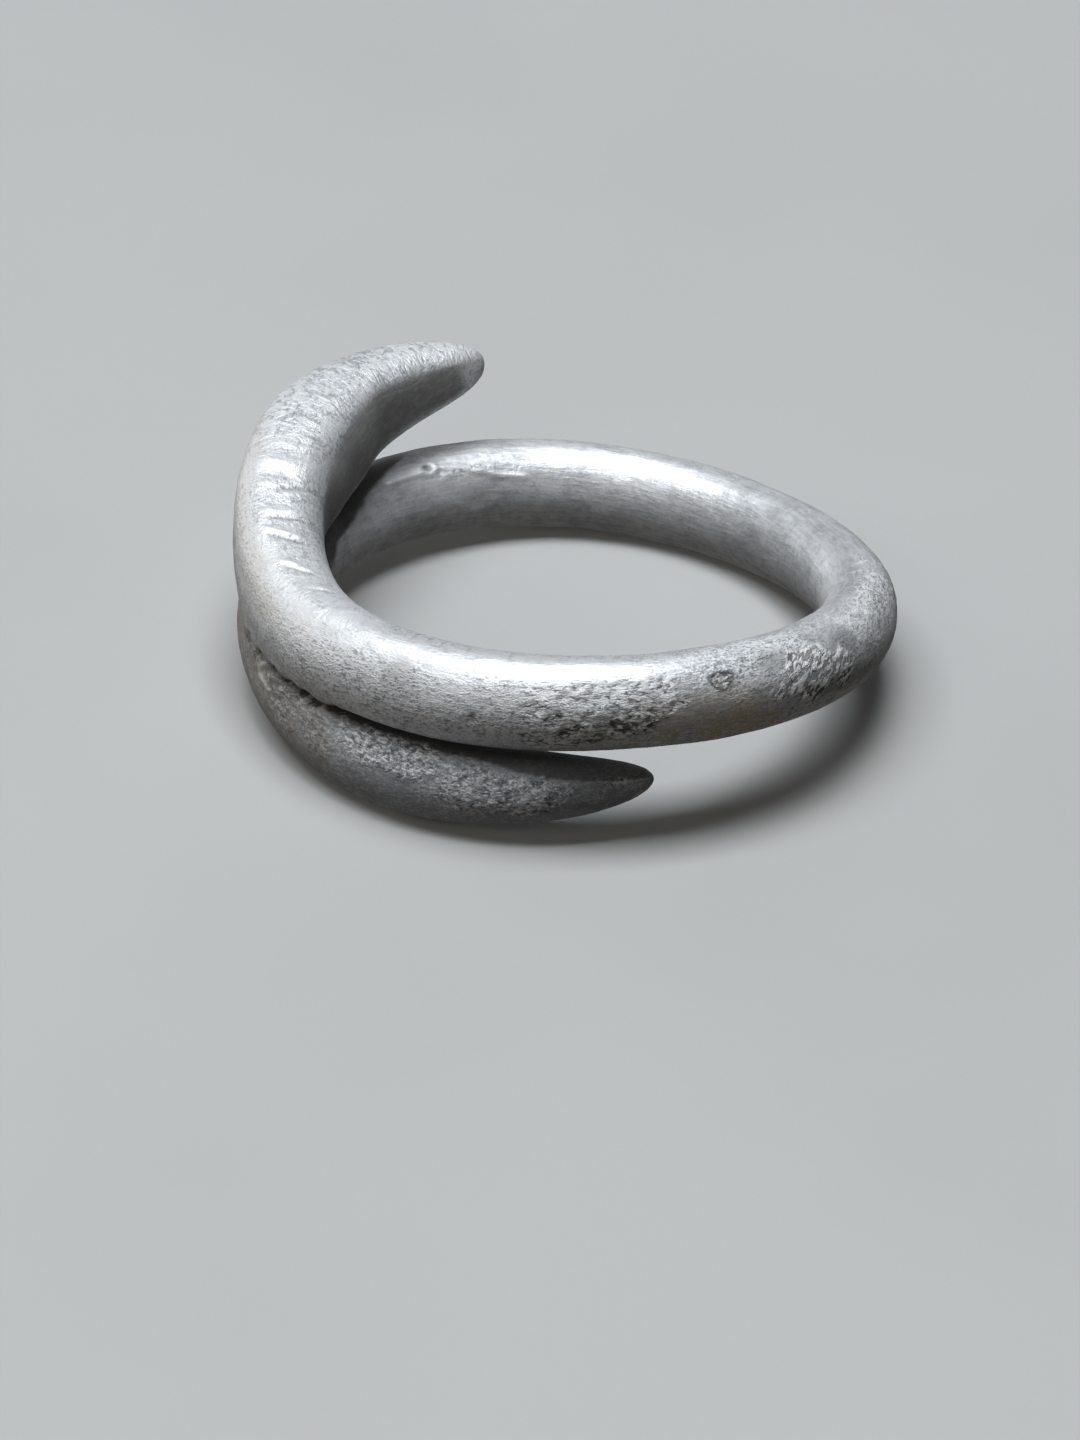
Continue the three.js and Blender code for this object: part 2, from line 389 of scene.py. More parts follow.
# Transverse wrinkles on the left limb, where the rod was bent hardest, and finer ones beyond: turn,
# place round the rod, half its span round the rod in degrees, half its width and its height in
# millimetres, and how many degrees of turn it slants by for each degree round the rod.
WRINKLES = (
    (-217.0, 122.0, 26.0, 0.06, -0.020, 0.02),
    (-212.5, 126.0, 26.0, 0.06, -0.018, 0.02),
    (-208.7, 114.0, 30.0, 0.08, 0.030, 0.0),
    (-203.8, 112.0, 46.0, 0.36, 0.060, 0.0),
    (-200.6, 104.0, 22.0, 0.07, -0.026, 0.0),
    (-198.2, 130.0, 22.0, 0.06, -0.085, -0.04),
    (-198.4, 92.0, 10.0, 0.10, 0.040, 0.0),
    (-191.4, 110.0, 26.0, 0.17, 0.060, 0.0),
    (-189.6, 112.0, 22.0, 0.08, -0.040, 0.0),
    (-185.3, 106.0, 24.0, 0.17, 0.070, 0.06),
    (-183.6, 108.0, 22.0, 0.09, -0.050, 0.06),
    (-174.3, 104.0, 16.0, 0.18, 0.060, 0.15),
    (-172.5, 104.0, 16.0, 0.09, -0.045, 0.15),
    (-164.5, 107.0, 13.0, 0.14, 0.044, 0.15),
    (-163.0, 107.0, 13.0, 0.08, -0.032, 0.15),
    (-153.5, 98.0, 9.0, 0.12, 0.026, 0.15),
    (-137.0, 108.0, 14.0, 0.06, -0.020, 0.0),
    (-133.8, 110.0, 12.0, 0.06, -0.016, 0.0),
    (-130.8, 108.0, 14.0, 0.06, -0.020, 0.0),
    (-125.2, 106.0, 12.0, 0.05, -0.016, 0.0),
    (-117.0, 106.0, 14.0, 0.06, -0.024, 0.0),
)

# How strong they all are, and how uneven: a share of noise, its features' length and its seed.
WRINKLE_STRENGTH = 1.25
WRINKLE_UNEVENNESS = 0.6
WRINKLE_CELL = 0.5
WRINKLE_SEED = 6

# Noises on the straight bar: how long their features are in millimetres, how many layers they
# have, and their seed. There is a pit wherever its noise passes a level.
RAGGED = (1.2, 3, 3)
LUMPS = (0.55, 3, 31)
BLOTS = (0.95, 2, 81)
PITS = (0.32, 2, 41)
PIT_LEVEL = 0.22
SEAM_RAGGED = (0.5, 2, 91)

# The rod's slow unevenness: the height in millimetres, how long its features are along and across
# the bar, and the seed. Then the rear's, and a finer one, in layers.
WAVES = ((0.030, (4.2, 2.4, 2.4), 1), (0.014, (1.7, 1.2, 1.2), 2))
REAR_WAVES = (0.030, (2.4, 1.5, 1.5), 12)
FINE_WAVES = (0.006, 0.5, 2, 5)

# Heights in millimetres of the lumps and ridges in each kind of patch, and the depth of its pits.
FRONT_SUNK = 0.020
FRONT_LUMPS = 0.030
FRONT_PITS = 0.08
RIGHT_RIDGES = 0.026
RIGHT_LUMPS = 0.014
MOTTLE_BLOTS = 0.030
MOTTLE_PITS = 0.04
GRANULAR_LUMPS = 0.010
GRANULAR_PITS = 0.03
CRUST_LUMPS = 0.035
CRUST_PITS = 0.05

# Patches: their strength, how ragged the outline is, the middle as turn and place round the rod,
# the half sizes, the width of the edge as a share of them, and how square the outline is.
FRONT_PATCH = (1.0, 0.16, (-99.3, 8.0), (13.6, 52.0), 0.12, 5.0)
FRONT_PATCH_FOOT = (1.0, 0.45, (-97.0, -12.0), (13.0, 20.0), 0.8, 2.5)
RIGHT_PATCH = (1.0, 0.55, (-58.0, 30.0), (9.4, 39.0), 0.35, 2.6)
RIGHT_PATCH_TAIL = (0.8, 0.35, (-66.5, 10.0), (3.2, 12.0), 0.5, 2.0)
RIGHT_MOTTLES = (1.0, 0.30, (-34.0, 46.0), (14.0, 34.0), 0.7, 2.5)
FAIR_HORN = (1.0, 0.2, (-210.0, 92.0), (64.0, 86.0), 0.5, 4.0)
CALM_REAR = (1.0, 0.2, (70.0, 170.0), (110.0, 130.0), 0.5, 4.0)
# The front band's worn top: its grain is calmer, and it is painted lighter where its highlight lies.
CALM_TOP = (1.0, 0.3, (-130.0, 80.0), (46.0, 26.0), 0.8, 2.5)
# A painted glint at the lower tip.
TIP_PAINTED_GLINT = (1.0, 0.6, (266.4, 37.0), (4.0, 9.0), 0.9, 2.0)
STAIN = (1.0, 0.6, (-76.0, -24.0), (9.0, 26.0), 1.0, 2.5)
BROWN_DOTS = (1.0, 0.6, (-88.0, -24.0), (8.0, 14.0), 1.0, 2.5)

# Grainy silver at the front, at the right and on the left limb.
GRANULAR = (
    (1.0, 0.30, (-136.0, 24.0), (32.0, 48.0), 0.7, 2.5),
    (0.9, 0.30, (-70.0, 62.0), (14.0, 42.0), 0.8, 2.5),
    (0.6, 0.30, (-174.0, 44.0), (30.0, 34.0), 0.7, 2.5),
)

# Crust on the lower horn's top and front, at the rear, at the lower tip, towards the lower horn's
# rear, and at the right.
CRUST = (
    (1.0, 0.35, (222.0, 56.0), (14.0, 26.0), 0.7, 2.5),
    (1.0, 0.35, (243.0, 22.0), (13.0, 34.0), 0.7, 2.5),
    (0.8, 0.7, (97.0, 144.0), (6.0, 9.0), 0.8, 2.5),
    (0.7, 0.6, (265.0, 34.0), (5.0, 18.0), 0.9, 2.5),
    (0.35, 0.7, (197.0, 46.0), (18.0, 36.0), 1.2, 2.0),
    (0.8, 0.9, (-27.0, 62.0), (14.0, 36.0), 0.9, 2.5),
)

# Dark marks, and painted shade on the front of the lower tip; then places with a warm film.
DARK_MARKS_AND_PAINTED_SHADE = (
    (0.30, 0.5, (-136.0, 36.0), (3.0, 20.0), 1.2, 2.0),
    (0.45, 0.5, (-67.0, 54.0), (3.4, 18.0), 1.0, 2.0),
    (0.25, 0.5, (24.0, 165.0), (5.0, 14.0), 1.2, 2.0),
    (0.35, 0.5, (-52.0, -6.0), (12.0, 12.0), 1.0, 2.0),
    (0.50, 0.5, (184.0, 10.0), (28.0, 66.0), 1.4, 2.0),
    # Painted shade on the front of the lower tip, under the front band.
    (0.30, 0.5, (262.0, 6.0), (10.0, 44.0), 0.8, 2.5),
    (0.14, 0.5, (-4.0, 100.0), (26.0, 60.0), 1.2, 2.0),
)
WARM_PLACES = (
    (0.9, 0.5, (181.0, 20.0), (24.0, 58.0), 1.5, 2.0),
    (0.5, 0.5, (-194.0, 48.0), (30.0, 24.0), 1.0, 2.5),
    (0.8, 0.5, (-82.0, 2.0), (12.0, 30.0), 1.0, 2.5),
)

# Places with a dull skin. Those of a strength below 0 are brighter than the rest; on the left
# limb's outer side that is painted light.
DULL_SKIN_AND_PAINTED_LIGHT = (
    (0.22, 0.3, (-70.0, 62.0), (14.0, 42.0), 0.8, 2.5),
    (0.85, 0.3, (226.0, 0.0), (56.0, 170.0), 0.9, 4.0),
    # Painted light on the left limb's outer side.
    (-0.46, 0.4, (-172.0, 46.0), (30.0, 30.0), 0.7, 2.5),
    (-0.50, 0.4, (-124.0, 34.0), (14.0, 20.0), 1.0, 2.0),
    (-0.50, 0.4, (-59.0, 28.0), (9.0, 26.0), 0.8, 2.5),
)

# Slanting cuts that end two of the patches: a turn and a place round the rod on the cut, its slope,
# and how ragged and how wide it is in degrees.
FRONT_PATCH_CUT = (-84.8, 14.0, 2.6, 12.0, 10.0)
RIGHT_PATCH_CUT = (-62.0, 60.0, -2.3, 14.0, 14.0)

# The fair horn's creases weaken towards the wrinkles on the limb: between which turns, and to what.
CREASED_TURNS = (-218.0, -204.0)
CREASED_LEAST = 0.45

# Edges of painted shade. On the upper horn's inner face, the place round the rod for each turn; in
# the recess over the rear, where the upper horn's shadow is painted, the turn for each place round
# the rod; on the lower horn, where the front band's shadow is painted, the place round the rod for
# each turn. Each has the width of the edge, where the shade ends, and how long it takes to fade
# there, in degrees.
INNER_EDGE = (
    (-266.0, -251.0, -239.5, -229.0, -217.0, -207.0, -198.0, -188.0, -176.0),
    (170.0, 165.0, 158.0, 162.0, 165.0, 167.0, 172.0, 173.0, 168.0),
)
INNER_EDGE_WIDTH = 18.0
INNER_END = 228.0
INNER_END_FADE = 30.0
INNER_TURNS = (-264.0, -168.0)
INNER_TURN_FADES = (5.0, 34.0)
RECESS_EDGE = (
    (100.0, 110.0, 120.0, 134.0, 142.0, 154.0, 164.0, 170.0, 188.0),
    (108.0, 112.0, 115.5, 120.0, 125.0, 129.0, 133.5, 138.5, 143.0),
)
RECESS_EDGE_WIDTH = 4.0
RECESS_RAGGED = 2.0
RECESS_END = 172.0
RECESS_END_FADE = 30.0
RECESS_SPAN = (70.0, 205.0)
RECESS_SPAN_FADES = (40.0, 30.0)
UNDER_EDGE = ((200.0, 212.0, 222.0, 238.0, 252.0, 266.0), (84.0, 80.0, 86.0, 72.0, 50.0, 42.0))
UNDER_EDGE_WIDTH = 4.0
UNDER_RAGGED = 6.0
UNDER_END = 150.0
UNDER_END_FADE = 30.0
UNDER_TURNS = (196.0, 272.0)
UNDER_TURN_FADES = (12.0, 3.0)

# How much of the painted shade on the upper horn's inner face, in the recess and under the front
# band, of the worn top, whose lighter colour is a painted highlight, and of the seam's grime goes
# into each mask.
INNER_PAINTED_SHADE = 0.50
INNER_DULL = 0.70
INNER_WARM = 0.50
RECESS_PAINTED_SHADOW = 0.80
UNDER_PAINTED_SHADOW = 0.66
TOP_CALM = 0.85
TOP_PAINTED_HIGHLIGHT = 0.25
GRIME_DARK = 0.15
GRIME_DULL = 0.45
GRIME_WARM = 0.60
CREASE_DARK = 0.60
MOTTLE_GRAIN = 0.8

# Painted highlights on what is raised, light blots and a light smear, and dark in what is hollow:
# how strong, and how fast it grows with the height in millimetres, or with the noise for lumps and
# blots.
RIM_PAINTED_HIGHLIGHT = 0.7
WRINKLE_PAINTED_HIGHLIGHT = 0.75
RAISED_GAIN = 22.0
BLOT_LIGHT = 0.5
BLOT_GAIN = 2.0
SMEAR_LIGHT = 0.9
CREST_PAINTED_HIGHLIGHT = 0.6
DENT_DARK = 0.7
DENT_GAIN = 9.0
WRINKLE_DARK = 0.6
WRINKLE_GAIN = 26.0
LUMP_DARK = 0.35
LUMP_GAIN = 2.0
FOOT_DARK = 0.62
FOOT_LEVEL = 0.72
FOOT_GAIN = 2.4
DOT_GAIN = 3.0

# The ridges of the right patch: the middle that they are measured from, their slant across the rod,
# and how long and wide they are. Then how much they bend, how sharp they are and the noise's seed.
WORM_MIDDLE = (-60.0, 30.0)
WORM_GRAIN = (50.0, 0.52, 0.25)
WORM_BEND = 0.35
WORM_BEND_SCALE = 0.7
WORM_SHARPNESS = 2.8
WORM_FLOOR = -0.4
WORM_SEED = 71
WORM_BEND_SEED = 121

# Small hollows: turn, place round the rod, half length and half width in millimetres, height of
# the middle and of the rim. The rim's place and width are shares of the half sizes.
RIM_PLACE = 1.25
RIM_WIDTH = 0.3
DENTS = (
    (106.3, 132.5, 0.25, 0.19, -0.080, 0.050),
    (96.5, -178.0, 0.75, 0.40, -0.020, 0.004),
    (-226.0, 125.0, 0.30, 0.12, -0.050, 0.0),
    (-246.0, 118.0, 0.16, 0.14, -0.045, 0.0),
    (-53.0, 85.0, 0.20, 0.10, -0.060, 0.010),
    (-122.0, 6.0, 0.12, 0.20, -0.060, 0.0),
    (-86.8, -23.0, 0.13, 0.09, -0.050, 0.010),
    (-84.4, -25.0, 0.09, 0.07, -0.050, 0.010),
)

# The scab: its place, its half sizes in millimetres, how much wider it is above than below, and the
# height of its rim. Then, as shares of its outline, where the rim lies and how wide it is; how deep
# the inside is sunk, as a share of the rim's height; where the inside begins; and the farthest
# distance that the mask keeps.
SCAB = (-79.0, 42.0)
SCAB_HALF_LENGTH = 0.43
SCAB_HALF_WIDTH = 0.36
SCAB_TAPER = 0.45
SCAB_HEIGHT = 0.030
SCAB_RIM = 0.95
SCAB_RIM_WIDTH = 0.25
SCAB_SUNK = 0.4
SCAB_INSIDE = 0.9
SCAB_INSIDE_WIDTH = 0.3
SCAB_FARTHEST = 3.0

# The upper horn was hammered nearly square: the middle of its top face round the rod, how deep
# the faces are as a share of the radius, between which turns they lie, and how they fade there.
FACE_MIDDLE = 108.0
FACE_DEPTH = 0.050
FACE_TURNS = (-267.0, -150.0)
FACE_FADES = (9.0, 34.0)

# The upper horn's tip is blunter than the taper alone: by what share, by what more on its lower
# side, where that side lies round the rod, and over what length.
TIP_BLUNTNESS = 0.16
TIP_FULLNESS = 0.33
TIP_FULL_SIDE = -125.0
TIP_BLUNT_LENGTH = 1.5

# Under the upper horn's bend the rod is fuller on the finger's side: where, over what half length
# and half width in degrees, and by how much.
BEND_FULLNESS = ((-219.0, -146.0), (14.0, 46.0), 0.30)

# The pits in the seam: their turns on the upper strand, their half lengths, how high they reach,
# how deep they are, how they vary, and how far out from the rod's middle they are full. Then the
# fill between the strands, and the stretch where they touch.
PIT_TURNS = (-177.0, -172.0, -167.4, -162.4, -158.2, -151.8)
PIT_HALF_LENGTHS = (0.07, 0.13, 0.20, 0.25, 0.30, 0.12)
PIT_REACH = 0.24
PIT_DEPTH = 0.36
PIT_MEAN = 0.9
PIT_VARIATION = 0.5
PIT_ASIDE = 0.5
SEAM_FILL = 0.34
SEAM_FILL_REACH = 0.50
SEAM_FILL_VARIATION = 0.22
SEAM_ASIDE = 0.7
SEAM_STRETCH = (-207.0, -147.0)
SEAM_FADES = (10.0, 10.0)
SEAM_SOFTNESS = 0.10

# Grime beside the seam and the dark crease in it: how high they reach in millimetres, where the
# grime ends, and how much of the crease the fill takes away.
GRIME_REACH = 0.55
GRIME_END = -146.0
GRIME_FADE = 12.0
CREASE_REACH = 0.22
CREASE_FILLED = 0.75

# Lines of places: a bright smear below the seam, and the rear's sharp crest, whose brightness is a
# painted highlight.
SMEAR = ((186.5, 62.0), (185.6, 48.0), (186.4, 39.0), (190.5, 36.0))
SMEAR_WIDTH = 0.13
SMEAR_HEIGHT = 0.08
REAR_CREST = ((117.0, 139.0), (109.8, 138.0), (103.0, 135.0), (97.0, 145.0), (91.0, 155.0), (85.0, 158.0))
REAR_CREST_WIDTH = 0.10
REAR_CREST_HEIGHT = 0.060
REAR_CREST_RAGGED = 1.2


def distance_on_rod(rod, turn, around, place):
    """Millimetres along and round the rod from a place on it."""
    along = np.radians(turn - place[0]) * rod.coil_radius
    across = np.radians(way_round(around, place[1])) * rod.radius(turn)
    return along, across


def rimmed_dent(rod, turn, around, dent):
    """A bowl with a raised rim: a bell of the distance squared, plus a ring-shaped bell."""
    along, across = distance_on_rod(rod, turn, around, dent)
    away = np.hypot(along / dent[2], across / dent[3])
    return dent[4] * bell(away**2) + dent[5] * bell((away - RIM_PLACE) / RIM_WIDTH)


def wrinkle_relief(rod, turn, around):
    """Every wrinkle is a bell across its slanting line and a flat-topped bell along it."""
    height = np.zeros(turn.shape)
    for at, middle, half_span, width, high, slant in WRINKLES:
        aside = way_round(around, middle)
        along = np.radians(turn - at - slant * aside) * rod.coil_radius
        height += WRINKLE_STRENGTH * high * bell(along / width) * bell((aside / half_span) ** 2)
    return height


def hammered_faces(rod, turn, around):
    """Four nearly flat faces with rounded edges: minus the cosine of four times the angle from the
    middle of the top face, as a share of the radius."""
    fade = between(turn, FACE_TURNS, FACE_FADES)
    return -FACE_DEPTH * fade * rod.radius(turn) * np.cos(np.radians(4 * (around - FACE_MIDDLE)))


def bend_fullness(turn, around):
    """Flat-topped bells along and round the rod, times the height."""
    middle, half, fuller = BEND_FULLNESS
    along = (turn - middle[0]) / half[0]
    aside = way_round(around, middle[1]) / half[1]
    return fuller * bell(along**2) * bell(aside**2)


def ridge_line(rod, turn, around, places, width):
    """A ridge along a line of places: a bell of the distance from its nearest stretch."""
    nearest = np.full(turn.shape, np.inf)
    for start, end in zip(places[:-1], places[1:]):
        along, across = distance_on_rod(rod, turn, around, start)
        way = np.array(distance_on_rod(rod, np.float64(end[0]), np.float64(end[1]), start))
        share = np.clip((along * way[0] + across * way[1]) / (way @ way), 0, 1)
        nearest = np.minimum(nearest, np.hypot(along - share * way[0], across - share * way[1]))
    return bell(nearest / width)


def inner_painted_shade(turn, around):
    """1 where shade is painted on the upper horn's inner face, with a crisp upper edge."""
    full = around % WHOLE_TURN
    shade = smooth_rise((full - np.interp(turn, *INNER_EDGE)) / INNER_EDGE_WIDTH + 0.5)
    shade *= smooth_rise((INNER_END - full) / INNER_END_FADE + 0.5)
    return shade * between(turn, INNER_TURNS, INNER_TURN_FADES)


def recess_painted_shadow(turn, around):
    """1 where the upper horn's shadow is painted in the recess, where the rear band runs in under it."""
    full = around % WHOLE_TURN
    shade = smooth_rise((turn - np.interp(full, *RECESS_EDGE)) / RECESS_EDGE_WIDTH + 0.5)
    shade *= smooth_rise((RECESS_END - turn) / RECESS_END_FADE)
    return shade * between(full, RECESS_SPAN, RECESS_SPAN_FADES)


def under_painted_shadow(turn, around):
    """1 on top of the lower horn where the front band's shadow is painted, beyond its edge."""
    shade = smooth_rise((around - np.interp(turn, *UNDER_EDGE)) / UNDER_EDGE_WIDTH + 0.5)
    shade *= smooth_rise((UNDER_END - around) / UNDER_END_FADE)
    return shade * between(turn, UNDER_TURNS, UNDER_TURN_FADES)


def slanted(along, across, slant, length, width):
    """Places on the rod's skin along and across a slanting line, as shares of a length and width."""
    angle = math.radians(slant)
    down = along * math.cos(angle) + across * math.sin(angle)
    over = across * math.cos(angle) - along * math.sin(angle)
    return np.stack([down / length, over / width, 0 * down], axis=-1)


def worm_ridges(places):
    """Short ridges: 1 on the lines where noise is 0, falling away to both sides."""
    bent = places + WORM_BEND * noise(places * WORM_BEND_SCALE, 1.0, WORM_BEND_SEED)[..., None]
    return np.clip(1 - WORM_SHARPNESS * np.abs(noise(bent, 1.0, WORM_SEED)), WORM_FLOOR, 1)


def scab_of(rod, turn, around):
    """How far a place is from the scab's middle, as a share of its outline, which is a shield: wide
    above and pointed below."""
    along, across = distance_on_rod(rod, turn, around, SCAB)
    width = SCAB_HALF_LENGTH * (1 + SCAB_TAPER * np.clip(across / SCAB_HALF_WIDTH, -1, 1))
    return np.hypot(along / width, across / SCAB_HALF_WIDTH)


class Skin:
    """What lies on the plain rod: noises, patches, marks, painted shade and painted highlights for the
    same grid of places.
    """

    def __init__(self, rod, turn, around):
        self.rod, self.turn, self.around = rod, turn, around
        self.bar = rod.bar(turn, around)
        self.ragged = layered_noise(self.bar, *RAGGED)
        self.lumps = layered_noise(self.bar, *LUMPS)
        self.blots = layered_noise(self.bar, *BLOTS)
        self.pits = np.clip(layered_noise(self.bar, *PITS) - PIT_LEVEL, 0, None)
        self.front = self.most(FRONT_PATCH) * self.past(FRONT_PATCH_CUT, 1)
        right = self.most(RIGHT_PATCH) * self.past(RIGHT_PATCH_CUT, -1)
        self.right = np.maximum(right, self.most(RIGHT_PATCH_TAIL))
        self.mottles = self.most(RIGHT_MOTTLES)
        self.granular = self.most(*GRANULAR)
        self.crust = self.most(*CRUST)
        self.calm = self.most(CALM_REAR)
        self.wrinkles = wrinkle_relief(rod, turn, around)
        self.dents = sum(rimmed_dent(rod, turn, around, dent) for dent in DENTS)
        self.smear = ridge_line(rod, turn, around, SMEAR, SMEAR_WIDTH)
        crest_turn = turn + REAR_CREST_RAGGED * self.ragged
        self.crest = ridge_line(rod, crest_turn, around, REAR_CREST, REAR_CREST_WIDTH)
        self.scab = scab_of(rod, turn, around)

    def patches(self, places):
        """How strong each of some patches is at each place."""
        return [patch(self.turn, self.around, self.ragged, place) for place in places]

    def most(self, *places):
        """The strongest of some patches at each place."""
        return np.maximum.reduce(self.patches(places))

    def past(self, cut, side):
        """1 above a slanting cut and 0 below it, or the other way round if side is -1."""
        turn, around, slope, ragged, width = cut
        above = self.around - around - slope * (self.turn - turn)
        return smooth_rise((side * above + ragged * self.ragged) / width + 0.5)

    def relief(self):
        """The height of the surface over the plain rod, in millimetres: the sum of all that is
        raised or hollow, each times the patch that it lies in."""
        lumps, pits = self.lumps, self.pits
        along, across = distance_on_rod(self.rod, self.turn, self.around, WORM_MIDDLE)
        worms = worm_ridges(slanted(along, across, *WORM_GRAIN))
        height = sum(high * noise(self.bar, cell, seed) for high, cell, seed in WAVES)
        height += self.calm * REAR_WAVES[0] * noise(self.bar, *REAR_WAVES[1:])
        height += FINE_WAVES[0] * layered_noise(self.bar, *FINE_WAVES[1:])
        uneven = noise(self.bar, WRINKLE_CELL, WRINKLE_SEED)
        height += self.wrinkles * (1 + WRINKLE_UNEVENNESS * uneven)
        height += self.front * (FRONT_LUMPS * lumps - FRONT_PITS * pits - FRONT_SUNK)
        height += self.right * (RIGHT_RIDGES * worms + RIGHT_LUMPS * lumps)
        height += self.mottles * (MOTTLE_BLOTS * self.blots - MOTTLE_PITS * pits)
        height += self.granular * (GRANULAR_LUMPS * lumps - GRANULAR_PITS * pits)
        height += self.crust * (CRUST_LUMPS * lumps - CRUST_PITS * pits)
        height += hammered_faces(self.rod, self.turn, self.around)
        height += bend_fullness(self.turn, self.around)
        height += self.dents + SMEAR_HEIGHT * self.smear + REAR_CREST_HEIGHT * self.crest
        rim = bell((self.scab - SCAB_RIM) / SCAB_RIM_WIDTH)
        inside = smooth_rise((SCAB_INSIDE - self.scab) / SCAB_INSIDE_WIDTH)
        return height + SCAB_HEIGHT * (rim - SCAB_SUNK * inside)

    def light(self):
        """What stands out: painted highlights on the dents' rims, the wrinkles' crests and the rear
        crest, a painted glint at the lower tip, the light smear and light blots.
        """
        light = SMEAR_LIGHT * self.smear + CREST_PAINTED_HIGHLIGHT * self.crest + self.most(TIP_PAINTED_GLINT)
        light += RIM_PAINTED_HIGHLIGHT * np.clip(self.dents * RAISED_GAIN, 0, 1)
        light += BLOT_LIGHT * self.mottles * np.clip(self.blots * BLOT_GAIN, 0, 1)
        return np.clip(light + WRINKLE_PAINTED_HIGHLIGHT * np.clip(self.wrinkles * RAISED_GAIN, 0, 1), 0, 1)

    def dark(self):
        """Hollows that dark patina fills, dark marks, and painted shade: the upper horn's shadow in the
        recess, the front band's on the lower horn and shade on the lower tip's front.
        """
        foot = self.front * self.most(FRONT_PATCH_FOOT)
        dark = LUMP_DARK * self.front * np.clip(-self.lumps * LUMP_GAIN, 0, 1)
        dark += foot * FOOT_DARK * np.clip(FOOT_LEVEL - FOOT_GAIN * self.lumps, 0, 1)
        dark += np.clip(-self.dents * DENT_GAIN, 0, DENT_DARK)
        dark += WRINKLE_DARK * np.clip(-self.wrinkles * WRINKLE_GAIN, 0, 1)
        # The upper horn's shadow, painted in the recess over the rear.
        recess = recess_painted_shadow(self.turn + RECESS_RAGGED * self.ragged, self.around)
        # The front band's shadow, painted on top of the lower horn.
        under = under_painted_shadow(self.turn, self.around + UNDER_RAGGED * self.ragged)
        return dark + sum(self.patches(DARK_MARKS_AND_PAINTED_SHADE)) + RECESS_PAINTED_SHADOW * recess + UNDER_PAINTED_SHADOW * under

    def masks(self):
        """Where each kind of skin lies, by the name that the finish reads."""
        # The upper horn's inner face is painted with shade: it darkens, dulls and warms the skin there,
        # and calms its grain.
        inner = inner_painted_shade(self.turn, self.around)
        # The worn top is calmer, and painted lighter where its highlight lies.
        worn = self.most(CALM_TOP)
        creased = smooth_rise((CREASED_TURNS[1] - self.turn) / (CREASED_TURNS[1] - CREASED_TURNS[0]))
        fair = self.most(FAIR_HORN) * (CREASED_LEAST + (1 - CREASED_LEAST) * creased)
        dots = self.most(BROWN_DOTS) * np.clip(self.lumps * DOT_GAIN, 0, 1)
        return {
            "pitted": self.front,
            "worms": self.right,
            "granular": np.maximum(self.granular, MOTTLE_GRAIN * self.mottles),
            "crust": self.crust,
            "scab": np.minimum(self.scab, SCAB_FARTHEST),
            "calm": np.clip(self.calm + inner + TOP_CALM * worn, 0, 1),
            "fair": fair * (1 - inner),
            # Painted highlights and light marks.
            "light": self.light(),
            "dark": self.dark() + INNER_PAINTED_SHADE * inner,
            "stain": self.most(STAIN) + dots,
            "warm": np.maximum(self.most(*WARM_PLACES), INNER_WARM * inner),
            "dull": sum(self.patches(DULL_SKIN_AND_PAINTED_LIGHT)) + INNER_DULL * inner - TOP_PAINTED_HIGHLIGHT * worn,
        }


def seam_of(rod, turn):
    """For each turn, whether another strand lies above or below it, and the height between them.

    That height divides the way from one centre line to the other as their radii do."""
    partner = np.where(turn < 0, turn + WHOLE_TURN, turn - WHOLE_TURN)
    there = (partner > -TIP_TURN[UPPER]) & (partner < TIP_TURN[LOWER])
    own, other = rod.centre(turn)[..., 2], rod.centre(partner)[..., 2]
    radius = rod.radius(turn)
    share = radius / (radius + rod.radius(np.where(there, partner, turn)) + 1e-9)
    return there, own + (other - own) * share


def close_seam(rod, turn, points, ragged):
    """Flattens each strand where it would sink into the other, and fills the groove beside them.

    A point's height over the seam becomes half of itself plus the root of its square and the
    softness squared, so it never passes the seam. Near the seam the strand also swells sideways as
    a bell of that height, apart from the pits, which go in instead. The grime and the dark crease
    are bells of the same height.
    """
    there, level = seam_of(rod, turn)
    side = np.where(turn < 0, 1.0, -1.0)
    over = side * (points[..., 2] - level)
    held = (over + np.sqrt(over**2 + SEAM_SOFTNESS**2)) / 2
    over = np.where(there, held, over)
    upper_turn = np.where(turn < 0, turn, turn - WHOLE_TURN)
    touch = between(upper_turn, SEAM_STRETCH, SEAM_FADES)
    radial = np.hypot(points[..., 0], points[..., 1])
    aside = radial - np.hypot(*np.moveaxis(rod.centre(turn)[..., :2], -1, 0))
    pit = smooth_rise(aside / PIT_ASIDE) * sum(
        bell(np.radians(upper_turn - at) * rod.coil_radius / half)
        for at, half in zip(PIT_TURNS, PIT_HALF_LENGTHS)
    )
    pit = np.clip(pit * (PIT_MEAN + PIT_VARIATION * ragged), 0, 1) * bell(over / PIT_REACH)
    pit = pit * there * (upper_turn < SEAM_STRETCH[1])
    fill = SEAM_FILL * (1 + SEAM_FILL_VARIATION * ragged) * bell(over / SEAM_FILL_REACH) * touch * there
    swell = (fill - (PIT_DEPTH + SEAM_FILL) * pit) * np.clip(aside / SEAM_ASIDE, -1, 1)
    scale = 1 + swell / radial
    points = np.stack([points[..., 0] * scale, points[..., 1] * scale, level + side * over], axis=-1)
    grime = bell(over / GRIME_REACH) * there * smooth_rise((GRIME_END - upper_turn) / GRIME_FADE)
    crease = bell(over / CREASE_REACH) * there * (1 - CREASE_FILLED * touch)
    return points, pit, grime, crease


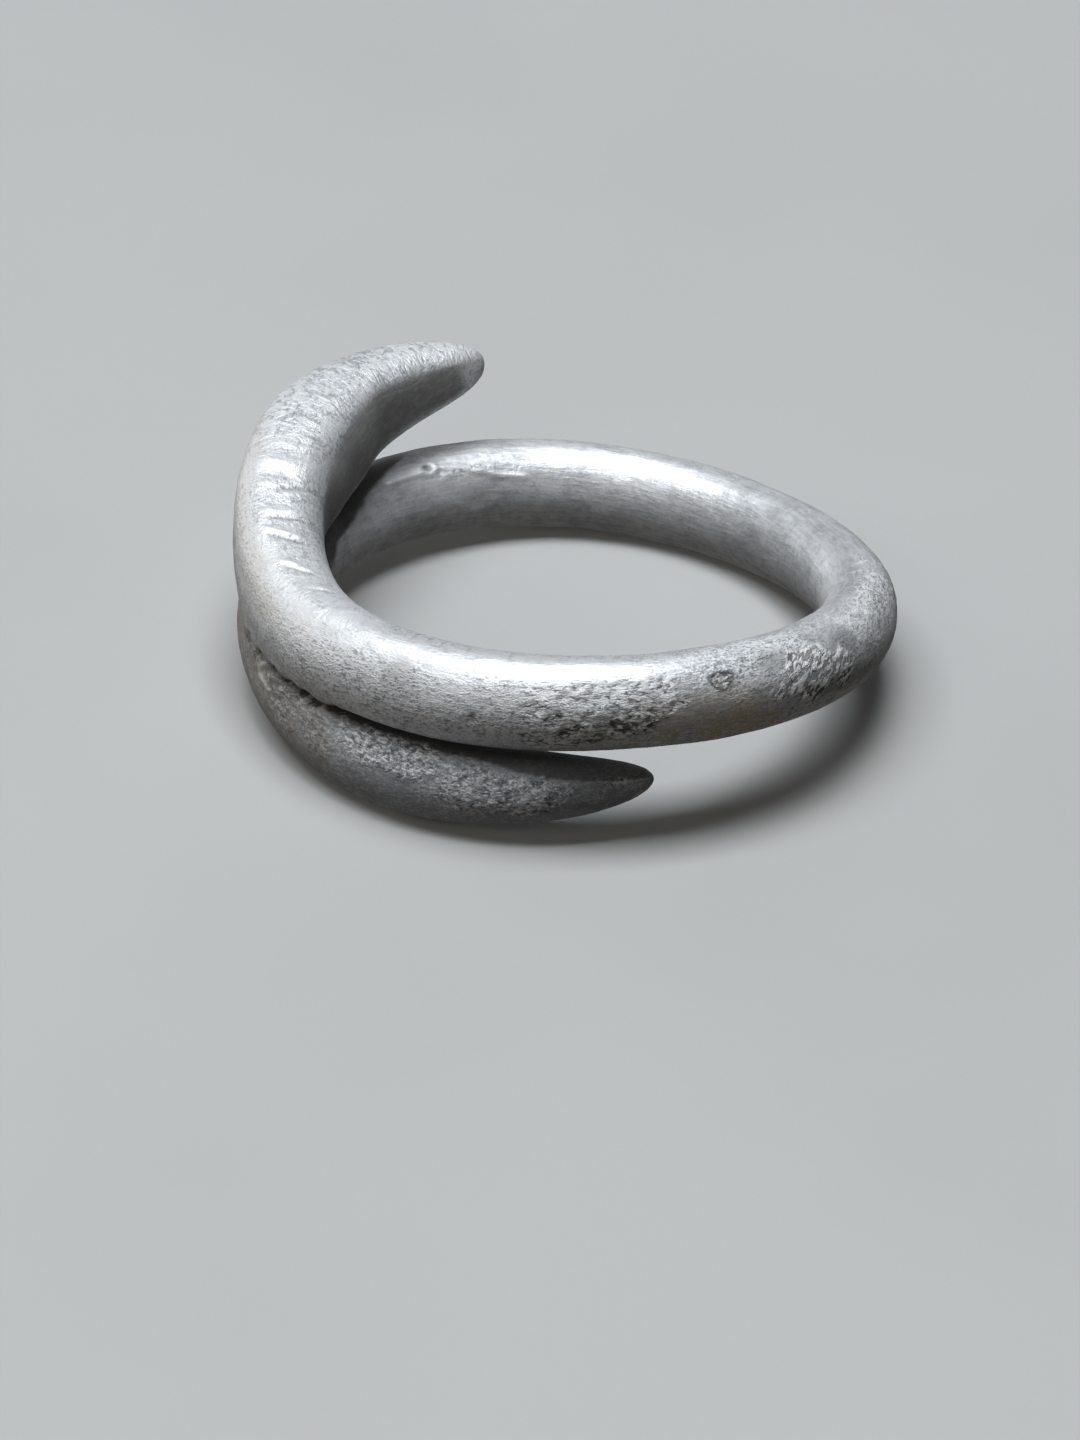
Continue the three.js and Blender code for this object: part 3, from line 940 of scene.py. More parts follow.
def grid_normals(points):
    """Outward normals of a grid that closes round its second axis: the cross product of the
    differences along both."""
    along = np.gradient(points, axis=0)
    around = np.roll(points, -1, axis=1) - np.roll(points, 1, axis=1)
    normals = np.cross(along, around)
    return normals / np.maximum(np.linalg.norm(normals, axis=-1, keepdims=True), 1e-12)


def tube_faces(rings, columns):
    """Corner numbers of the faces of a closed tube: quads between rings, and a fan at each tip,
    whose points come after the rings' points."""
    ring, column = np.meshgrid(np.arange(rings - 1), np.arange(columns), indexing="ij")
    here = ring * columns + column
    beside = ring * columns + (column + 1) % columns
    quads = np.stack([here, here + columns, beside + columns, beside], axis=-1).reshape(-1, 4)
    first = np.arange(columns)
    second = (first + 1) % columns
    last = (rings - 1) * columns
    start_fan = np.stack([first, second, np.full(columns, rings * columns)], axis=-1)
    end_fan = np.stack([last + second, last + first, np.full(columns, rings * columns + 1)], axis=-1)
    return quads, np.vstack([start_fan, end_fan])


def mass_centre(points, quads, fans):
    """The centre of mass: the mean of the wedges between each triangle and the origin."""
    triangles = np.vstack([quads[:, [0, 1, 2]], quads[:, [0, 2, 3]], fans])
    a, b, c = (points[triangles[:, i]] for i in range(3))
    wedge = np.sum(a * np.cross(b, c), axis=-1)
    return np.sum((a + b + c) / 4 * wedge[:, None], axis=0) / wedge.sum()


def hull_facets(points):
    """Normals and middles of the facets of the points' convex hull."""
    mesh = bpy.data.meshes.new("hull")
    mesh.vertices.add(len(points))
    mesh.vertices.foreach_set("co", points.astype(np.float32).ravel())
    hull = bmesh.new()
    hull.from_mesh(mesh)
    bmesh.ops.convex_hull(hull, input=hull.verts)
    hull.to_mesh(mesh)
    hull.free()
    normals = np.empty(len(mesh.polygons) * 3)
    middles = np.empty(len(mesh.polygons) * 3)
    mesh.polygons.foreach_get("normal", normals)
    mesh.polygons.foreach_get("center", middles)
    bpy.data.meshes.remove(mesh)
    return normals.reshape(-1, 3), middles.reshape(-1, 3)


def resting_turn(points, centre):
    """The turn that lays the ring down as it comes to rest: it tips onto the facet of its hull that
    is straight below its centre of mass, until that facet holds it."""
    normals, middles = hull_facets(points)
    reach = np.sum((middles - centre) * normals, axis=-1)
    down = np.array([0.0, 0.0, -1.0])
    facet = -1
    while True:
        facing = normals @ down
        below = int(np.argmin(np.where(facing > 0, reach / np.maximum(facing, 1e-9), np.inf)))
        if below == facet:
            break
        facet = below
        down = normals[facet]
    return np.array(Vector(down).rotation_difference(Vector((0.0, 0.0, -1.0))).to_matrix())


def facet_turns(rod, horn):
    """The stations of the CAD rod on one half: even up to the taper, then crowded to the tip."""
    taper = np.degrees(TAPER_LENGTH[horn] / rod.coil_radius)
    even = (TIP_TURN[horn] - taper) * np.arange(CAD_RUN_STATIONS) / CAD_RUN_STATIONS
    share = np.sin(np.linspace(0, np.pi / 2, CAD_TAPER_STATIONS + 1))
    return np.append(even, TIP_TURN[horn] - taper * (1 - share))


class Placement:
    """Carries points from the ring's own frame to where the CAD ring lies, in millimetres.

    The facets of the CAD rod are worked out again, because they settle how it lies."""

    def __init__(self, rod, worn_depth):
        turns = np.append(-facet_turns(rod, UPPER)[:0:-1], facet_turns(rod, LOWER))
        around = np.linspace(-HALF_TURN, HALF_TURN, CAD_SIDES, endpoint=False)
        grid = rod.surface(*np.meshgrid(turns[1:-1], around, indexing="ij"))
        points = np.vstack([grid.reshape(-1, 3), rod.centre(turns[[0, -1]])])
        self.turn = resting_turn(points, mass_centre(points, *tube_faces(*grid.shape[:2])))
        turned = points @ self.turn.T
        low, high = turned.min(axis=0), turned.max(axis=0)
        box_low, box_high = np.array(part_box(NODE)) / MM
        level = (box_low + box_high)[:2] / 2 - (low + high)[:2] / 2
        self.offset = np.append(level, box_low[2] - low[2] - worn_depth)

    def place(self, points):
        """Points of the ring's own frame where they lie."""
        return points @ self.turn.T + self.offset

    def aim(self, direction):
        """A direction of the ring's own frame, turned as the ring is."""
        return direction @ self.turn.T


def make_ring_mesh(sizes):
    """The rod as one closed tube: plain surface, relief along its normals, the closed seam, laid
    down as the CAD ring lies, and cut level at the worn spots."""
    rod = Rod(sizes)
    turns = ring_turns()
    around = np.linspace(-HALF_TURN, HALF_TURN, COLUMNS, endpoint=False)
    turn_grid, around_grid = np.meshgrid(turns[1:-1], around, indexing="ij")
    plain = rod.surface(turn_grid, around_grid, rod.blunt_tip(turn_grid, around_grid))
    quads, fans = tube_faces(*turn_grid.shape)
    tips = rod.centre(turns[[0, -1]])
    placement = Placement(rod, sizes.worn_depth / MM)
    skin = Skin(rod, turn_grid, around_grid)
    shaped = plain + grid_normals(plain) * skin.relief()[..., None]
    ragged = layered_noise(skin.bar, *SEAM_RAGGED)
    shaped, pit, grime, crease = close_seam(rod, turn_grid, shaped, ragged)
    masks = {**skin.masks(), "pit": pit}
    masks["dark"] = np.clip(masks["dark"] + CREASE_DARK * crease + GRIME_DARK * grime, 0, 1)
    masks["dull"] = np.clip(masks["dull"] + GRIME_DULL * grime, -1, 1)
    masks["warm"] = np.clip(masks["warm"] + GRIME_WARM * grime, 0, 1)
    points = placement.place(np.vstack([shaped.reshape(-1, 3), tips]))
    points[:, 2] = np.maximum(points[:, 2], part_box(NODE)[0][2] / MM)
    mesh = write_mesh(NODE + "_worn", points * MM, quads, fans)
    bar = np.vstack([skin.bar.reshape(-1, 3), rod.bar(turns[[0, -1]], np.zeros(2))])
    along, across = distance_on_rod(rod, turn_grid, around_grid, WORM_MIDDLE)
    slant = slanted(along, across, *WORM_GRAIN).reshape(-1, 3)
    add_attribute(mesh, "bar", bar)
    add_attribute(mesh, "skin", np.vstack([slant, np.zeros((2, 3))]))
    for name, values in masks.items():
        add_attribute(mesh, name, np.append(values.ravel(), [0.0, 0.0]))
    return mesh, placement


def add_attribute(mesh, name, values):
    """A number or a vector for each point of the mesh, under a name that the finish reads."""
    kind, field = ("FLOAT_VECTOR", "vector") if values.ndim == 2 else ("FLOAT", "value")
    attribute = mesh.attributes.new(name, kind, "POINT")
    attribute.data.foreach_set(field, values.astype(np.float32).ravel())


def write_mesh(name, points, quads, fans):
    """A smooth mesh from points, four-sided faces and three-sided ones."""
    mesh = bpy.data.meshes.new(name)
    corners = np.concatenate([quads.ravel(), fans.ravel()])
    sizes = np.concatenate([np.full(len(quads), 4), np.full(len(fans), 3)])
    starts = np.concatenate([[0], np.cumsum(sizes)[:-1]])
    mesh.vertices.add(len(points))
    mesh.vertices.foreach_set("co", points.astype(np.float32).ravel())
    mesh.loops.add(len(corners))
    mesh.loops.foreach_set("vertex_index", corners.astype(np.int32))
    mesh.polygons.add(len(sizes))
    mesh.polygons.foreach_set("loop_start", starts.astype(np.int32))
    mesh.polygons.foreach_set("use_smooth", np.ones(len(sizes), bool))
    mesh.update(calc_edges=True)
    mesh.validate()
    return mesh


class Value:
    """A node's output that takes part in sums as a number does."""

    def __init__(self, finish, socket):
        self.finish = finish
        self.socket = socket

    def math(self, operation, *others, clamp=False):
        """This value and others through a Math node, and kept between 0 and 1 if asked."""
        settings = {"operation": operation, "use_clamp": clamp}
        return self.finish.node("ShaderNodeMath", settings, dict(enumerate((self, *others))))

    def __add__(self, other):
        return self.math("ADD", other)

    def __radd__(self, other):
        return self.math("ADD", other)

    def __sub__(self, other):
        return self.math("SUBTRACT", other)

    def __rsub__(self, other):
        return self.finish.node("ShaderNodeMath", {"operation": "SUBTRACT"}, {0: other, 1: self})

    def __mul__(self, other):
        return self.math("MULTIPLY", other)

    def __rmul__(self, other):
        return self.math("MULTIPLY", other)

    def clamped(self):
        """This value, kept between 0 and 1."""
        return self.math("ADD", 0.0, clamp=True)


class Finish:
    """A material that is built up node by node."""

    def __init__(self, name):
        self.material = bpy.data.materials.new(name)
        self.material.use_nodes = True
        self.tree = self.material.node_tree
        self.tree.nodes.clear()

    def node(self, kind, settings=None, inputs=None, output=0):
        """Adds a node: its settings first, then the values or links of its sockets."""
        node = self.tree.nodes.new(kind)
        for key, value in (settings or {}).items():
            setattr(node, key, value)
        for key, value in (inputs or {}).items():
            if isinstance(value, Value):
                self.tree.links.new(value.socket, node.inputs[key])
            else:
                node.inputs[key].default_value = value
        return Value(self, node.outputs[output]) if len(node.outputs) else None

    def attribute(self, name, output="Fac"):
        """What the mesh carries under a name."""
        return self.node("ShaderNodeAttribute", {"attribute_name": name}, output=output)

    def noise(self, where, density, detail, roughness, distortion):
        """Noise from 0 to 1. The density is the number of features in one unit of each axis."""
        where = self.node("ShaderNodeVectorMath", {"operation": "MULTIPLY"}, {0: where, 1: density})
        sizes = {"Vector": where, "Scale": 1.0, "Detail": detail}
        sizes.update({"Roughness": roughness, "Distortion": distortion})
        return self.node("ShaderNodeTexNoise", {"noise_dimensions": "3D"}, sizes)

    def step(self, value, low, high):
        """0 at low, 1 at high and a smooth rise between. It falls where high is below low."""
        settings = {"interpolation_type": "SMOOTHSTEP", "clamp": True}
        ends = {"Value": value, "From Min": low, "From Max": high}
        return self.node("ShaderNodeMapRange", settings, ends)

    def mix(self, share, first, second):
        """A colour between two colours."""
        pick = {"data_type": "RGBA", "blend_type": "MIX", "clamp_factor": True}
        return self.node("ShaderNodeMix", pick, {0: share, 6: first, 7: second}, output=2)

    def size(self, value):
        """A number without its sign."""
        return self.node("ShaderNodeMath", {"operation": "ABSOLUTE"}, {0: value})

    def surface(self, sockets):
        """Ends the material with a surface of these colours and numbers."""
        shader = self.node("ShaderNodeBsdfPrincipled", None, sockets)
        self.node("ShaderNodeOutputMaterial", None, {"Surface": shader})
        return self.material


def rgba(colour):
    """A colour with its fourth part, which makes it opaque."""
    return (*colour, 1.0)


# The masks that the mesh carries for the finish.
MASKS = ("pitted", "worms", "granular", "crust", "light", "dark", "dull")
MASKS += ("warm", "stain", "calm", "fair", "scab", "pit")

# The finish's noises on the straight bar: how many features a millimetre has along it and in the
# two directions across, their layers, the roughness of these and the distortion.
NOISES = {
    "cloud": ((0.5, 0.5, 0.5), 3.0, 0.6, 0.0),
    "mottle": ((2.2, 2.2, 2.2), 3.0, 0.65, 0.4),
    "grain": ((4.16, 7.8, 7.8), 2.0, 0.65, 0.3),
    "fine": ((9.6, 14.4, 14.4), 2.0, 0.65, 0.0),
    "dashes": ((3.6, 7.5, 7.5), 3.0, 0.65, 0.5),
    "crumbs": ((4.4, 6.6, 6.6), 3.0, 0.7, 0.8),
    "streaks": ((1.1, 8.0, 8.0), 2.0, 0.65, 0.3),
    "creases": ((3.4, 1.7, 1.7), 3.0, 0.6, 1.6),
}
RIDGE_NOISE = ((1.5, 1.5, 1.5), 2.0, 0.6, 0.4)

# Sums of parts, each after how much of it there is, and a number that is added.
SUMS = {
    "specked": ({"grain": 0.42, "fine": 0.58}, 0.0),
    "flecked": ({"grain": 0.40, "fine": 0.60}, 0.0),
    "hollow": ({"pit": 1.0, "grain": 0.8}, -0.4),
    "past_rim": ({"scab": 1.0, "grain": 0.5}, -1.15),
}

# Rises from 0 to 1: what each is a rise of, where it begins and where it ends.
RISES = {
    "clouded": ("cloud", 0.35, 0.70),
    "mottled": ("mottle", 0.40, 0.68),
    "streaked": ("streaks", 0.40, 0.60),
    "creased": ("creases", 0.56, 0.40),
    "specks": ("specked", 0.40, 0.60),
    "flecks": ("flecked", 0.54, 0.66),
    "ridges": ("ridged", 0.47, 0.55),
    "high_crumbs": ("crumbs", 0.52, 0.62),
    "low_crumbs": ("crumbs", 0.50, 0.38),
    "spots": ("crumbs", 0.50, 0.60),
    "high_dashes": ("dashes", 0.51, 0.58),
    "low_dashes": ("dashes", 0.49, 0.39),
    "inside": ("scab", 0.95, 0.75),
    "hole": ("hollow", 0.30, 0.50),
    "rim": ("off_rim", 0.22, 0.08),
}

# How grey, how rough and how metallic the skin is: how much each part adds. Then how high the bump
# goes, in millimetres.
# The light mask lightens the painted highlights, and the dull mask, below 0, the painted light on the
# left limb.
GREY_SHARES = {
    "clouded": 0.30, "mottled": 0.30, "dull": 0.85, "granular": -0.14, "light": -0.60, "worms": -0.15
}
ROUGHNESS = 0.49
ROUGHNESS_SHARES = {"mottle": 0.08, "rough": 0.12, "depth": 0.20, "dull": 0.10}
METALLIC = 0.72
METALLIC_SHARES = {
    "rough": -0.30, "stain": -0.35, "warm": -0.15, "depth": -0.20, "crystals": -0.20, "fair": -0.30
}
BUMP_HEIGHT = 0.08

# How strong the specks are: on plain and on rough silver, on grainy silver, and how much they
# weaken on calm and on fair silver.
SPECKS_PLAIN = 0.75
SPECKS_ROUGH = 0.25
SPECKS_GRANULAR = 0.45
SPECKS_CALM = 0.72
SPECKS_FAIR = 0.45
SPECKS_MIDDLE = 0.45

# The same for streaks, the fair horn's creases and the dark flecks.
STREAKS_PLAIN = 0.12
STREAKS_CALM = 0.16
STREAKS_MIDDLE = 0.5
CREASES_GREY = 0.75
CREASES_MIDDLE = 0.42
FLECKS_PLAIN = 0.08
FLECKS_GRANULAR = 0.34

# How strong the warm film and the stain are at least, and how much more they are on specks.
WARM_FILM = (0.45, 0.35)
STAIN_FILM = (0.25, 0.70)

# Light crystals, and the dark ground between them, in each kind of patch. Then the scab's dark rim,
# the dark of the seam's pits, what the light mask of painted highlights and light marks takes from
# the dark, and how far both colours cover.
CRYSTALS_WORMS = 1.60
CRYSTALS_PITTED = 0.90
CRYSTALS_SCAB = 0.42
GROUND_WORMS = 0.62
GROUND_PITTED = 0.68
GROUND_CRUST = 0.76
GROUND_SCAB = 0.75
RIM_SHARE = 0.75
HOLE_DEPTH = 1.2
LIGHT_DEPTH = -0.5
PATINA_COVER = 0.92
CRYSTAL_COVER = 0.90

# The bump's height: the grain and the fine grain on plain and rough silver, what the calm takes
# from them, the mottling and the streaks, and then each patch's own.
GRAIN_RELIEF = (0.5, 0.6)
FINE_RELIEF = (0.3, 0.3)
CALM_RELIEF = 0.6
MOTTLE_RELIEF = 0.5
STREAK_RELIEF = 0.35
DASH_RELIEF = 1.8
CRUMB_RELIEF = 1.5
RIDGE_RELIEF = 1.2
CREASE_RELIEF = 2.4


def blend(parts, shares):
    """The sum of parts, each times its share."""
    return sum(share * parts[name] for name, share in shares.items())


def silver_parts(finish):
    """Every mask, noise and rise that the silver is mixed from, by name."""
    parts = {name: finish.attribute(name) for name in MASKS}
    bar = finish.attribute("bar", "Vector")
    for name, layers in NOISES.items():
        parts[name] = finish.noise(bar, *layers)
    parts["ridged"] = finish.noise(finish.attribute("skin", "Vector"), *RIDGE_NOISE)
    for name, (shares, more) in SUMS.items():
        parts[name] = blend(parts, shares) + more
    parts["off_rim"] = finish.size(parts["past_rim"])
    for name, (source, low, high) in RISES.items():
        parts[name] = finish.step(parts[source], low, high)
    parts["rough"] = (parts["pitted"] + parts["worms"] + parts["crust"] + parts["granular"]).clamped()
    return parts


def silver_grey(parts):
    """How grey the skin is: clouds, mottling and the masks, plus specks, streaks and creases that
    go as far below their middle as above it."""
    calm, fair = parts["calm"], parts["fair"]
    strength = SPECKS_PLAIN + SPECKS_ROUGH * parts["rough"] + SPECKS_GRANULAR * parts["granular"]
    strength = strength * (1 - SPECKS_CALM * calm) * (1 - SPECKS_FAIR * fair)
    grey = blend(parts, GREY_SHARES) + strength * (parts["specks"] - SPECKS_MIDDLE)
    grey = grey + (STREAKS_PLAIN + STREAKS_CALM * calm) * (parts["streaked"] - STREAKS_MIDDLE)
    return grey + CREASES_GREY * fair * (parts["creased"] - CREASES_MIDDLE)


def silver_crystals(parts):
    """Where light crystals stand: on the ridges, crumbs, dashes and spots of their patches."""
    crystals = CRYSTALS_WORMS * parts["worms"] * parts["ridges"] + parts["crust"] * parts["high_crumbs"]
    crystals = crystals + CRYSTALS_PITTED * parts["pitted"] * parts["high_dashes"]
    return crystals + CRYSTALS_SCAB * parts["inside"] * parts["spots"]


def silver_depth(parts):
    """How deep a place lies in dark patina or painted shade: the ground between the crystals, the
    scab's rim, the flecks, the pits and the dark mask, which holds the painted shade too, less the
    light mask of painted highlights and light marks."""
    depth = parts["dark"] + GROUND_WORMS * parts["worms"] * (1 - parts["ridges"])
    depth = depth + GROUND_PITTED * parts["pitted"] * parts["low_dashes"]
    depth = depth + GROUND_CRUST * parts["crust"] * parts["low_crumbs"] + RIM_SHARE * parts["rim"]
    depth = depth + GROUND_SCAB * parts["inside"] * (1 - parts["spots"])
    flecks = (FLECKS_PLAIN + FLECKS_GRANULAR * parts["granular"]) * parts["flecks"]
    depth = depth + flecks * (1 - parts["calm"])
    return depth + HOLE_DEPTH * parts["hole"] + LIGHT_DEPTH * parts["light"]


def silver_relief(parts):
    """The bump's height: grain everywhere, and dashes, crumbs, ridges and creases in their patches."""
    grain = parts["grain"] * (GRAIN_RELIEF[0] + GRAIN_RELIEF[1] * parts["rough"])
    fine = parts["fine"] * (FINE_RELIEF[0] + FINE_RELIEF[1] * parts["rough"])
    relief = (grain + fine) * (1 - CALM_RELIEF * parts["calm"]) + MOTTLE_RELIEF * parts["mottle"]
    relief = relief + DASH_RELIEF * parts["dashes"] * parts["pitted"]
    relief = relief + CRUMB_RELIEF * parts["crumbs"] * parts["crust"]
    relief = relief + RIDGE_RELIEF * parts["ridges"] * parts["worms"]
    return relief + CREASE_RELIEF * parts["creases"] * parts["fair"] + STREAK_RELIEF * parts["streaks"]


def old_silver(look):
    """Worn matt silver: a light skin mottled with a grey one and a fine grain of dark specks, dashes
    in the pitted patch, bright crystals where it is crusted, dark patina in cracks and the seam,
    shade painted in the patina's colour and highlights painted in the light skin's, a warm film and
    a yellow-brown stain."""
    finish = Finish("old_silver")
    parts = silver_parts(finish)
    parts["crystals"] = silver_crystals(parts).clamped()
    parts["depth"] = silver_depth(parts).clamped()
    colour = finish.mix(silver_grey(parts).clamped(), rgba(look.bright), rgba(look.dull))
    warm = (parts["warm"] * (WARM_FILM[0] + WARM_FILM[1] * parts["specks"])).clamped()
    colour = finish.mix(warm, colour, rgba(look.warm))
    stain = (parts["stain"] * (STAIN_FILM[0] + STAIN_FILM[1] * parts["specks"])).clamped()
    colour = finish.mix(stain, colour, rgba(look.stain))
    colour = finish.mix((parts["depth"] * PATINA_COVER).clamped(), colour, rgba(look.patina))
    colour = finish.mix((parts["crystals"] * CRYSTAL_COVER).clamped(), colour, rgba(look.crystal))
    heights = {"Strength": look.grain, "Distance": BUMP_HEIGHT * MM, "Height": silver_relief(parts)}
    bump = finish.node("ShaderNodeBump", None, heights)
    roughness = (ROUGHNESS + blend(parts, ROUGHNESS_SHARES)).clamped()
    metallic = (METALLIC + blend(parts, METALLIC_SHARES)).clamped()
    return finish.surface(
        {"Base Color": colour, "Roughness": roughness, "Metallic": metallic, "Normal": bump}
    )


PAPER_DENSITY = (30.0, 30.0, 30.0)
PAPER_STEP = (0.4, 0.7)
PAPER_SHADE = 0.96
PAPER_ROUGHNESS = 0.9


def floor_paper(look):
    """Matt pale paper with the faintest unevenness, in patches some centimetres long."""
    finish = Finish("floor_paper")
    where = finish.node("ShaderNodeTexCoord", output="Object")
    patches = finish.noise(where, PAPER_DENSITY, 3.0, 0.5, 0.0)
    darker = tuple(PAPER_SHADE * part for part in look.floor)
    colour = finish.mix(finish.step(patches, *PAPER_STEP), rgba(look.floor), rgba(darker))
    return finish.surface({"Base Color": colour, "Roughness": PAPER_ROUGHNESS})


# The camera, in the ring's own frame: how far round it stands from the front, how far it looks
# down, and how far it is tipped, in degrees; how far away it is; and which point of the picture's
# plane through the ring's middle is at the centre of the picture, right and up, in millimetres.
CAMERA_ROUND = 17.1
CAMERA_DOWN = 25.1
CAMERA_TIP = -3.1
CAMERA_DISTANCE = 300.0
CAMERA_CENTRE = (-1.03, -4.56)

# Where the camera's view begins and ends, in metres.
CLIP = (0.01, 10.0)

# How far the lights stand from the ring, in metres. Then their azimuth and elevation in degrees,
# their width in metres, and the studio's names of their radiance and colour.
LIGHT_DISTANCE = 0.5
LIGHTS = {
    "key_light": (0.0, 90.0, 0.21, "key_glow", "key_colour"),
    "left_light": (-90.0, 68.0, 0.176, "left_glow", "key_colour"),
    "low_left_light": (-110.0, 8.0, 0.21, "low_glow", "fill_colour"),
    "low_rear_light": (-150.0, 8.0, 0.21, "low_glow", "key_colour"),
    "front_light": (-40.0, 38.0, 0.25, "front_glow", "fill_colour"),
    "rear_light": (147.0, 16.0, 0.26, "rear_glow", "key_colour"),
}

# How strong the surround's light from above the horizon is, as a share of that from below, and how
# far from the horizon it has changed, as the sine of the height.
UPPER_SHARE = 0.3
HORIZON_FADE = 0.1

FLOOR_HALF_WIDTH = 1.2


def camera_axes():
    """The camera's right, up and forward directions in the ring's own frame."""
    around, down, tip = np.radians([CAMERA_ROUND, CAMERA_DOWN, CAMERA_TIP])
    level = np.array([math.cos(around), -math.sin(around), 0.0])
    ahead = np.array([math.sin(around), math.cos(around), 0.0])
    forward = ahead * math.cos(down) - np.array([0.0, 0.0, math.sin(down)])
    up = ahead * math.sin(down) + np.array([0.0, 0.0, math.cos(down)])
    right = level * math.cos(tip) - up * math.sin(tip)
    return right, level * math.sin(tip) + up * math.cos(tip), forward


def make_camera(studio, placement):
    """The camera at the photograph's angle. It aims at the point of the picture's centre."""
    right, up, forward = (placement.aim(axis) for axis in camera_axes())
    middle = placement.place(np.zeros(3))
    place = middle - forward * CAMERA_DISTANCE
    target = middle + right * CAMERA_CENTRE[0] + up * CAMERA_CENTRE[1]
    back = Vector(place - target).normalized()
    across = Vector(up).cross(back).normalized()
    upright = back.cross(across)
    data = bpy.data.cameras.new("camera")
    data.lens = studio.lens
    data.clip_start, data.clip_end = CLIP
    camera = bpy.data.objects.new("camera", data)
    turn = Matrix((across, upright, back)).transposed()
    camera.matrix_world = Matrix.Translation(Vector(place * MM)) @ turn.to_4x4()
    bpy.context.scene.collection.objects.link(camera)
    bpy.context.scene.camera = camera


def make_light(name, azimuth, elevation, width, glow, colour):
    """A soft square light that faces the ring. Azimuth 0 is the front and 90 the ring's right."""
    around, rise = math.radians(azimuth), math.radians(elevation)
    level = math.cos(rise)
    way = Vector((math.sin(around) * level, -math.cos(around) * level, math.sin(rise)))
    data = bpy.data.lights.new(name, "AREA")
    data.shape = "SQUARE"
    data.size = width
    data.energy = math.pi * width**2 * glow
    data.color = colour
    light = bpy.data.objects.new(name, data)
    turn = (-way).to_track_quat("-Z", "Y").to_matrix().to_4x4()
    light.matrix_world = Matrix.Translation(way * LIGHT_DISTANCE) @ turn
    light.visible_camera = False
    bpy.context.scene.collection.objects.link(light)


def make_floor(studio):
    """A plain square sheet at the height that the ring lies on. The ring doesn't mirror it."""
    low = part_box(NODE)[0][2]
    signs = ((-1, -1), (1, -1), (1, 1), (-1, 1))
    corners = [(x * FLOOR_HALF_WIDTH, y * FLOOR_HALF_WIDTH, low) for x, y in signs]
    mesh = bpy.data.meshes.new("floor")
    mesh.from_pydata(corners, [], [(0, 1, 2, 3)])
    mesh.materials.append(floor_paper(studio))
    floor = bpy.data.objects.new("floor", mesh)
    floor.visible_glossy = False
    floor.visible_diffuse = False
    floor.visible_shadow = False
    bpy.context.scene.collection.objects.link(floor)


def make_surround(studio):
    """Dim even light from all round: stronger from below the horizon, where a floor gives it back."""
    world = bpy.data.worlds.new("surround")
    world.use_nodes = True
    tree = world.node_tree
    background = tree.nodes["Background"]
    background.inputs["Color"].default_value = rgba(studio.fill_colour)
    way = tree.nodes.new("ShaderNodeTexCoord")
    parts = tree.nodes.new("ShaderNodeSeparateXYZ")
    strength = tree.nodes.new("ShaderNodeMapRange")
    strength.inputs["From Min"].default_value = -HORIZON_FADE
    strength.inputs["From Max"].default_value = HORIZON_FADE
    strength.inputs["To Min"].default_value = studio.surround
    strength.inputs["To Max"].default_value = studio.surround * UPPER_SHARE
    tree.links.new(way.outputs["Generated"], parts.inputs[0])
    tree.links.new(parts.outputs["Z"], strength.inputs["Value"])
    tree.links.new(strength.outputs[0], background.inputs["Strength"])
    bpy.context.scene.world = world


placements = {}


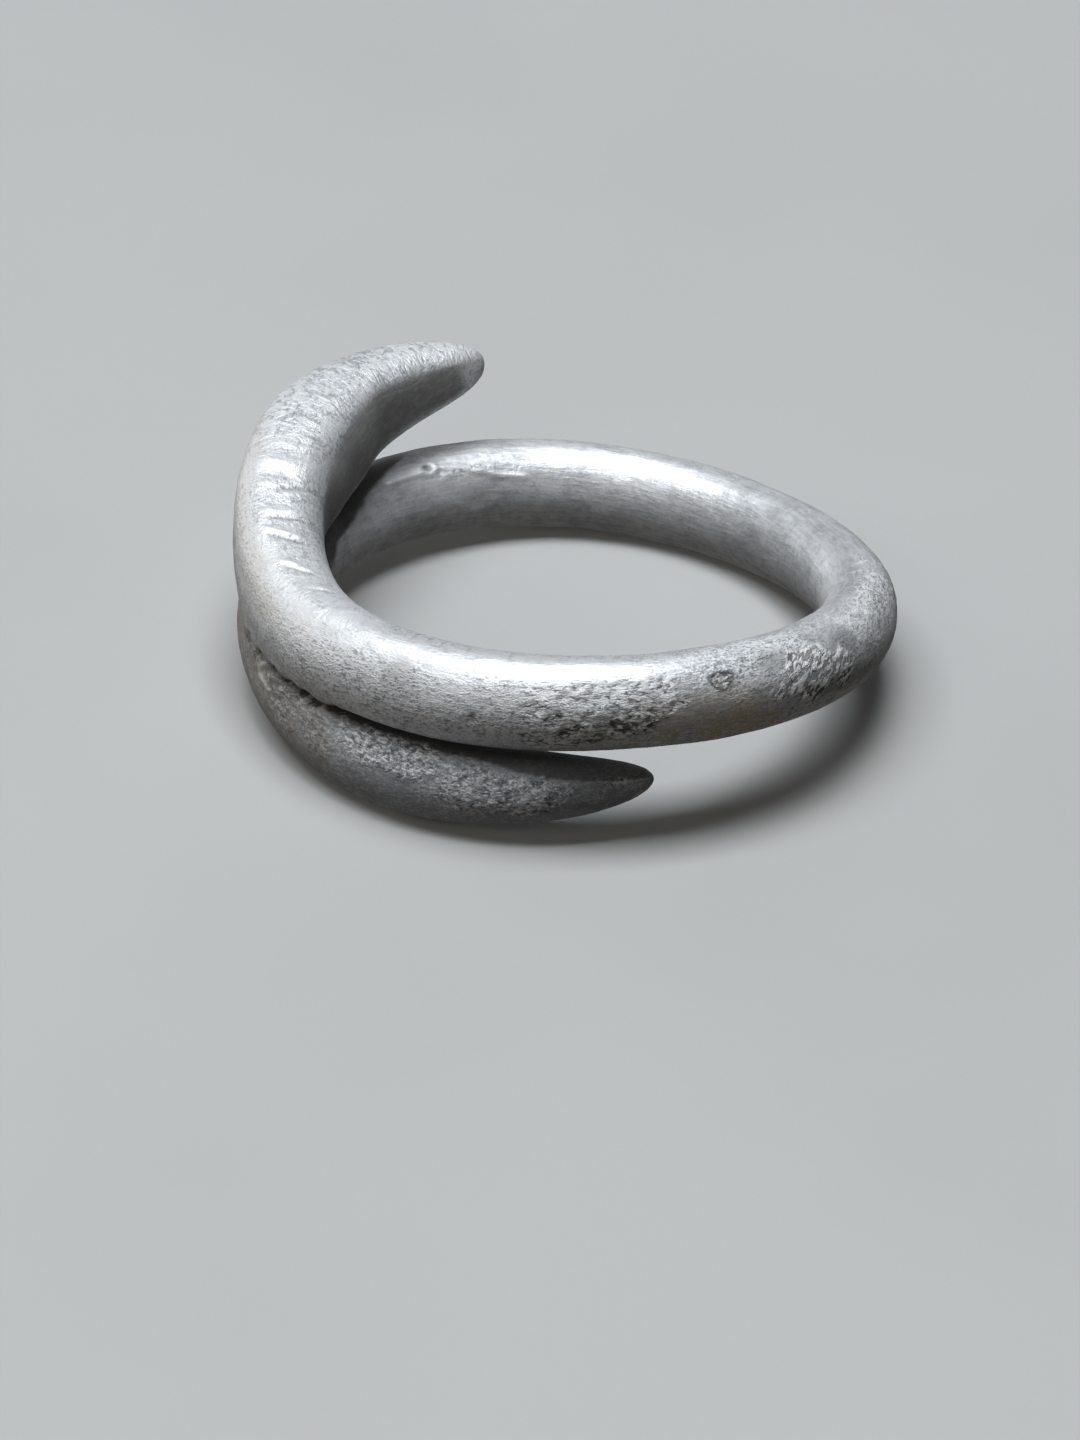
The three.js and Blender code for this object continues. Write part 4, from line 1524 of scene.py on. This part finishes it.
class COILRING_OT_ring(bpy.types.Operator):
    """Make the worn silver ring on the CAD ring"""

    bl_idname = "coil_ring.make_ring"
    bl_label = "Silver Ring"
    bl_options = {"REGISTER", "UNDO"}

    def execute(self, context):
        mesh, placement = make_ring_mesh(context.scene.ring_sizes)
        placements[NODE] = placement
        mesh.materials.append(old_silver(context.scene.ring_finish))
        ring = bpy.data.objects.new("silver_coil_ring", mesh)
        context.scene.collection.objects.link(ring)
        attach(ring, BODY)
        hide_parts(NODE)
        return {"FINISHED"}


class COILRING_OT_studio(bpy.types.Operator):
    """Make the floor, the lights and the camera round the ring"""

    bl_idname = "coil_ring.make_studio"
    bl_label = "Studio"
    bl_options = {"REGISTER", "UNDO"}

    def execute(self, context):
        if NODE not in placements:
            raise RuntimeError("make the ring first: the camera is placed from it")
        studio = context.scene.ring_studio
        make_floor(studio)
        for name, (azimuth, elevation, width, glow, colour) in LIGHTS.items():
            make_light(name, azimuth, elevation, width, getattr(studio, glow), getattr(studio, colour))
        make_surround(studio)
        make_camera(studio, placements[NODE])
        context.scene.view_settings.view_transform = "Standard"
        return {"FINISHED"}


class COILRING_PT_panel(bpy.types.Panel):
    """Lists the ring's pieces and settings in the sidebar"""

    bl_label = "Coiled Silver Ring"
    bl_idname = "COILRING_PT_panel"
    bl_space_type = "VIEW_3D"
    bl_region_type = "UI"
    bl_category = "Coiled Ring"

    def draw(self, context):
        for group in (context.scene.ring_sizes, context.scene.ring_finish, context.scene.ring_studio):
            box = self.layout.box()
            for name in group.bl_rna.properties.keys():
                if name not in ("rna_type", "name"):
                    box.prop(group, name)
        self.layout.operator(COILRING_OT_ring.bl_idname)
        self.layout.operator(COILRING_OT_studio.bl_idname)


CLASSES = (RodSizes, SilverFinish, StudioSettings)
CLASSES += (COILRING_OT_ring, COILRING_OT_studio, COILRING_PT_panel)


def register():
    for cls in CLASSES:
        bpy.utils.register_class(cls)
    bpy.types.Scene.ring_sizes = PointerProperty(type=RodSizes)
    bpy.types.Scene.ring_finish = PointerProperty(type=SilverFinish)
    bpy.types.Scene.ring_studio = PointerProperty(type=StudioSettings)


def unregister():
    del bpy.types.Scene.ring_studio
    del bpy.types.Scene.ring_finish
    del bpy.types.Scene.ring_sizes
    for cls in reversed(CLASSES):
        bpy.utils.unregister_class(cls)


def main():
    register()
    bpy.ops.coil_ring.make_ring()
    bpy.ops.coil_ring.make_studio()


if __name__ == "__main__":
    main()
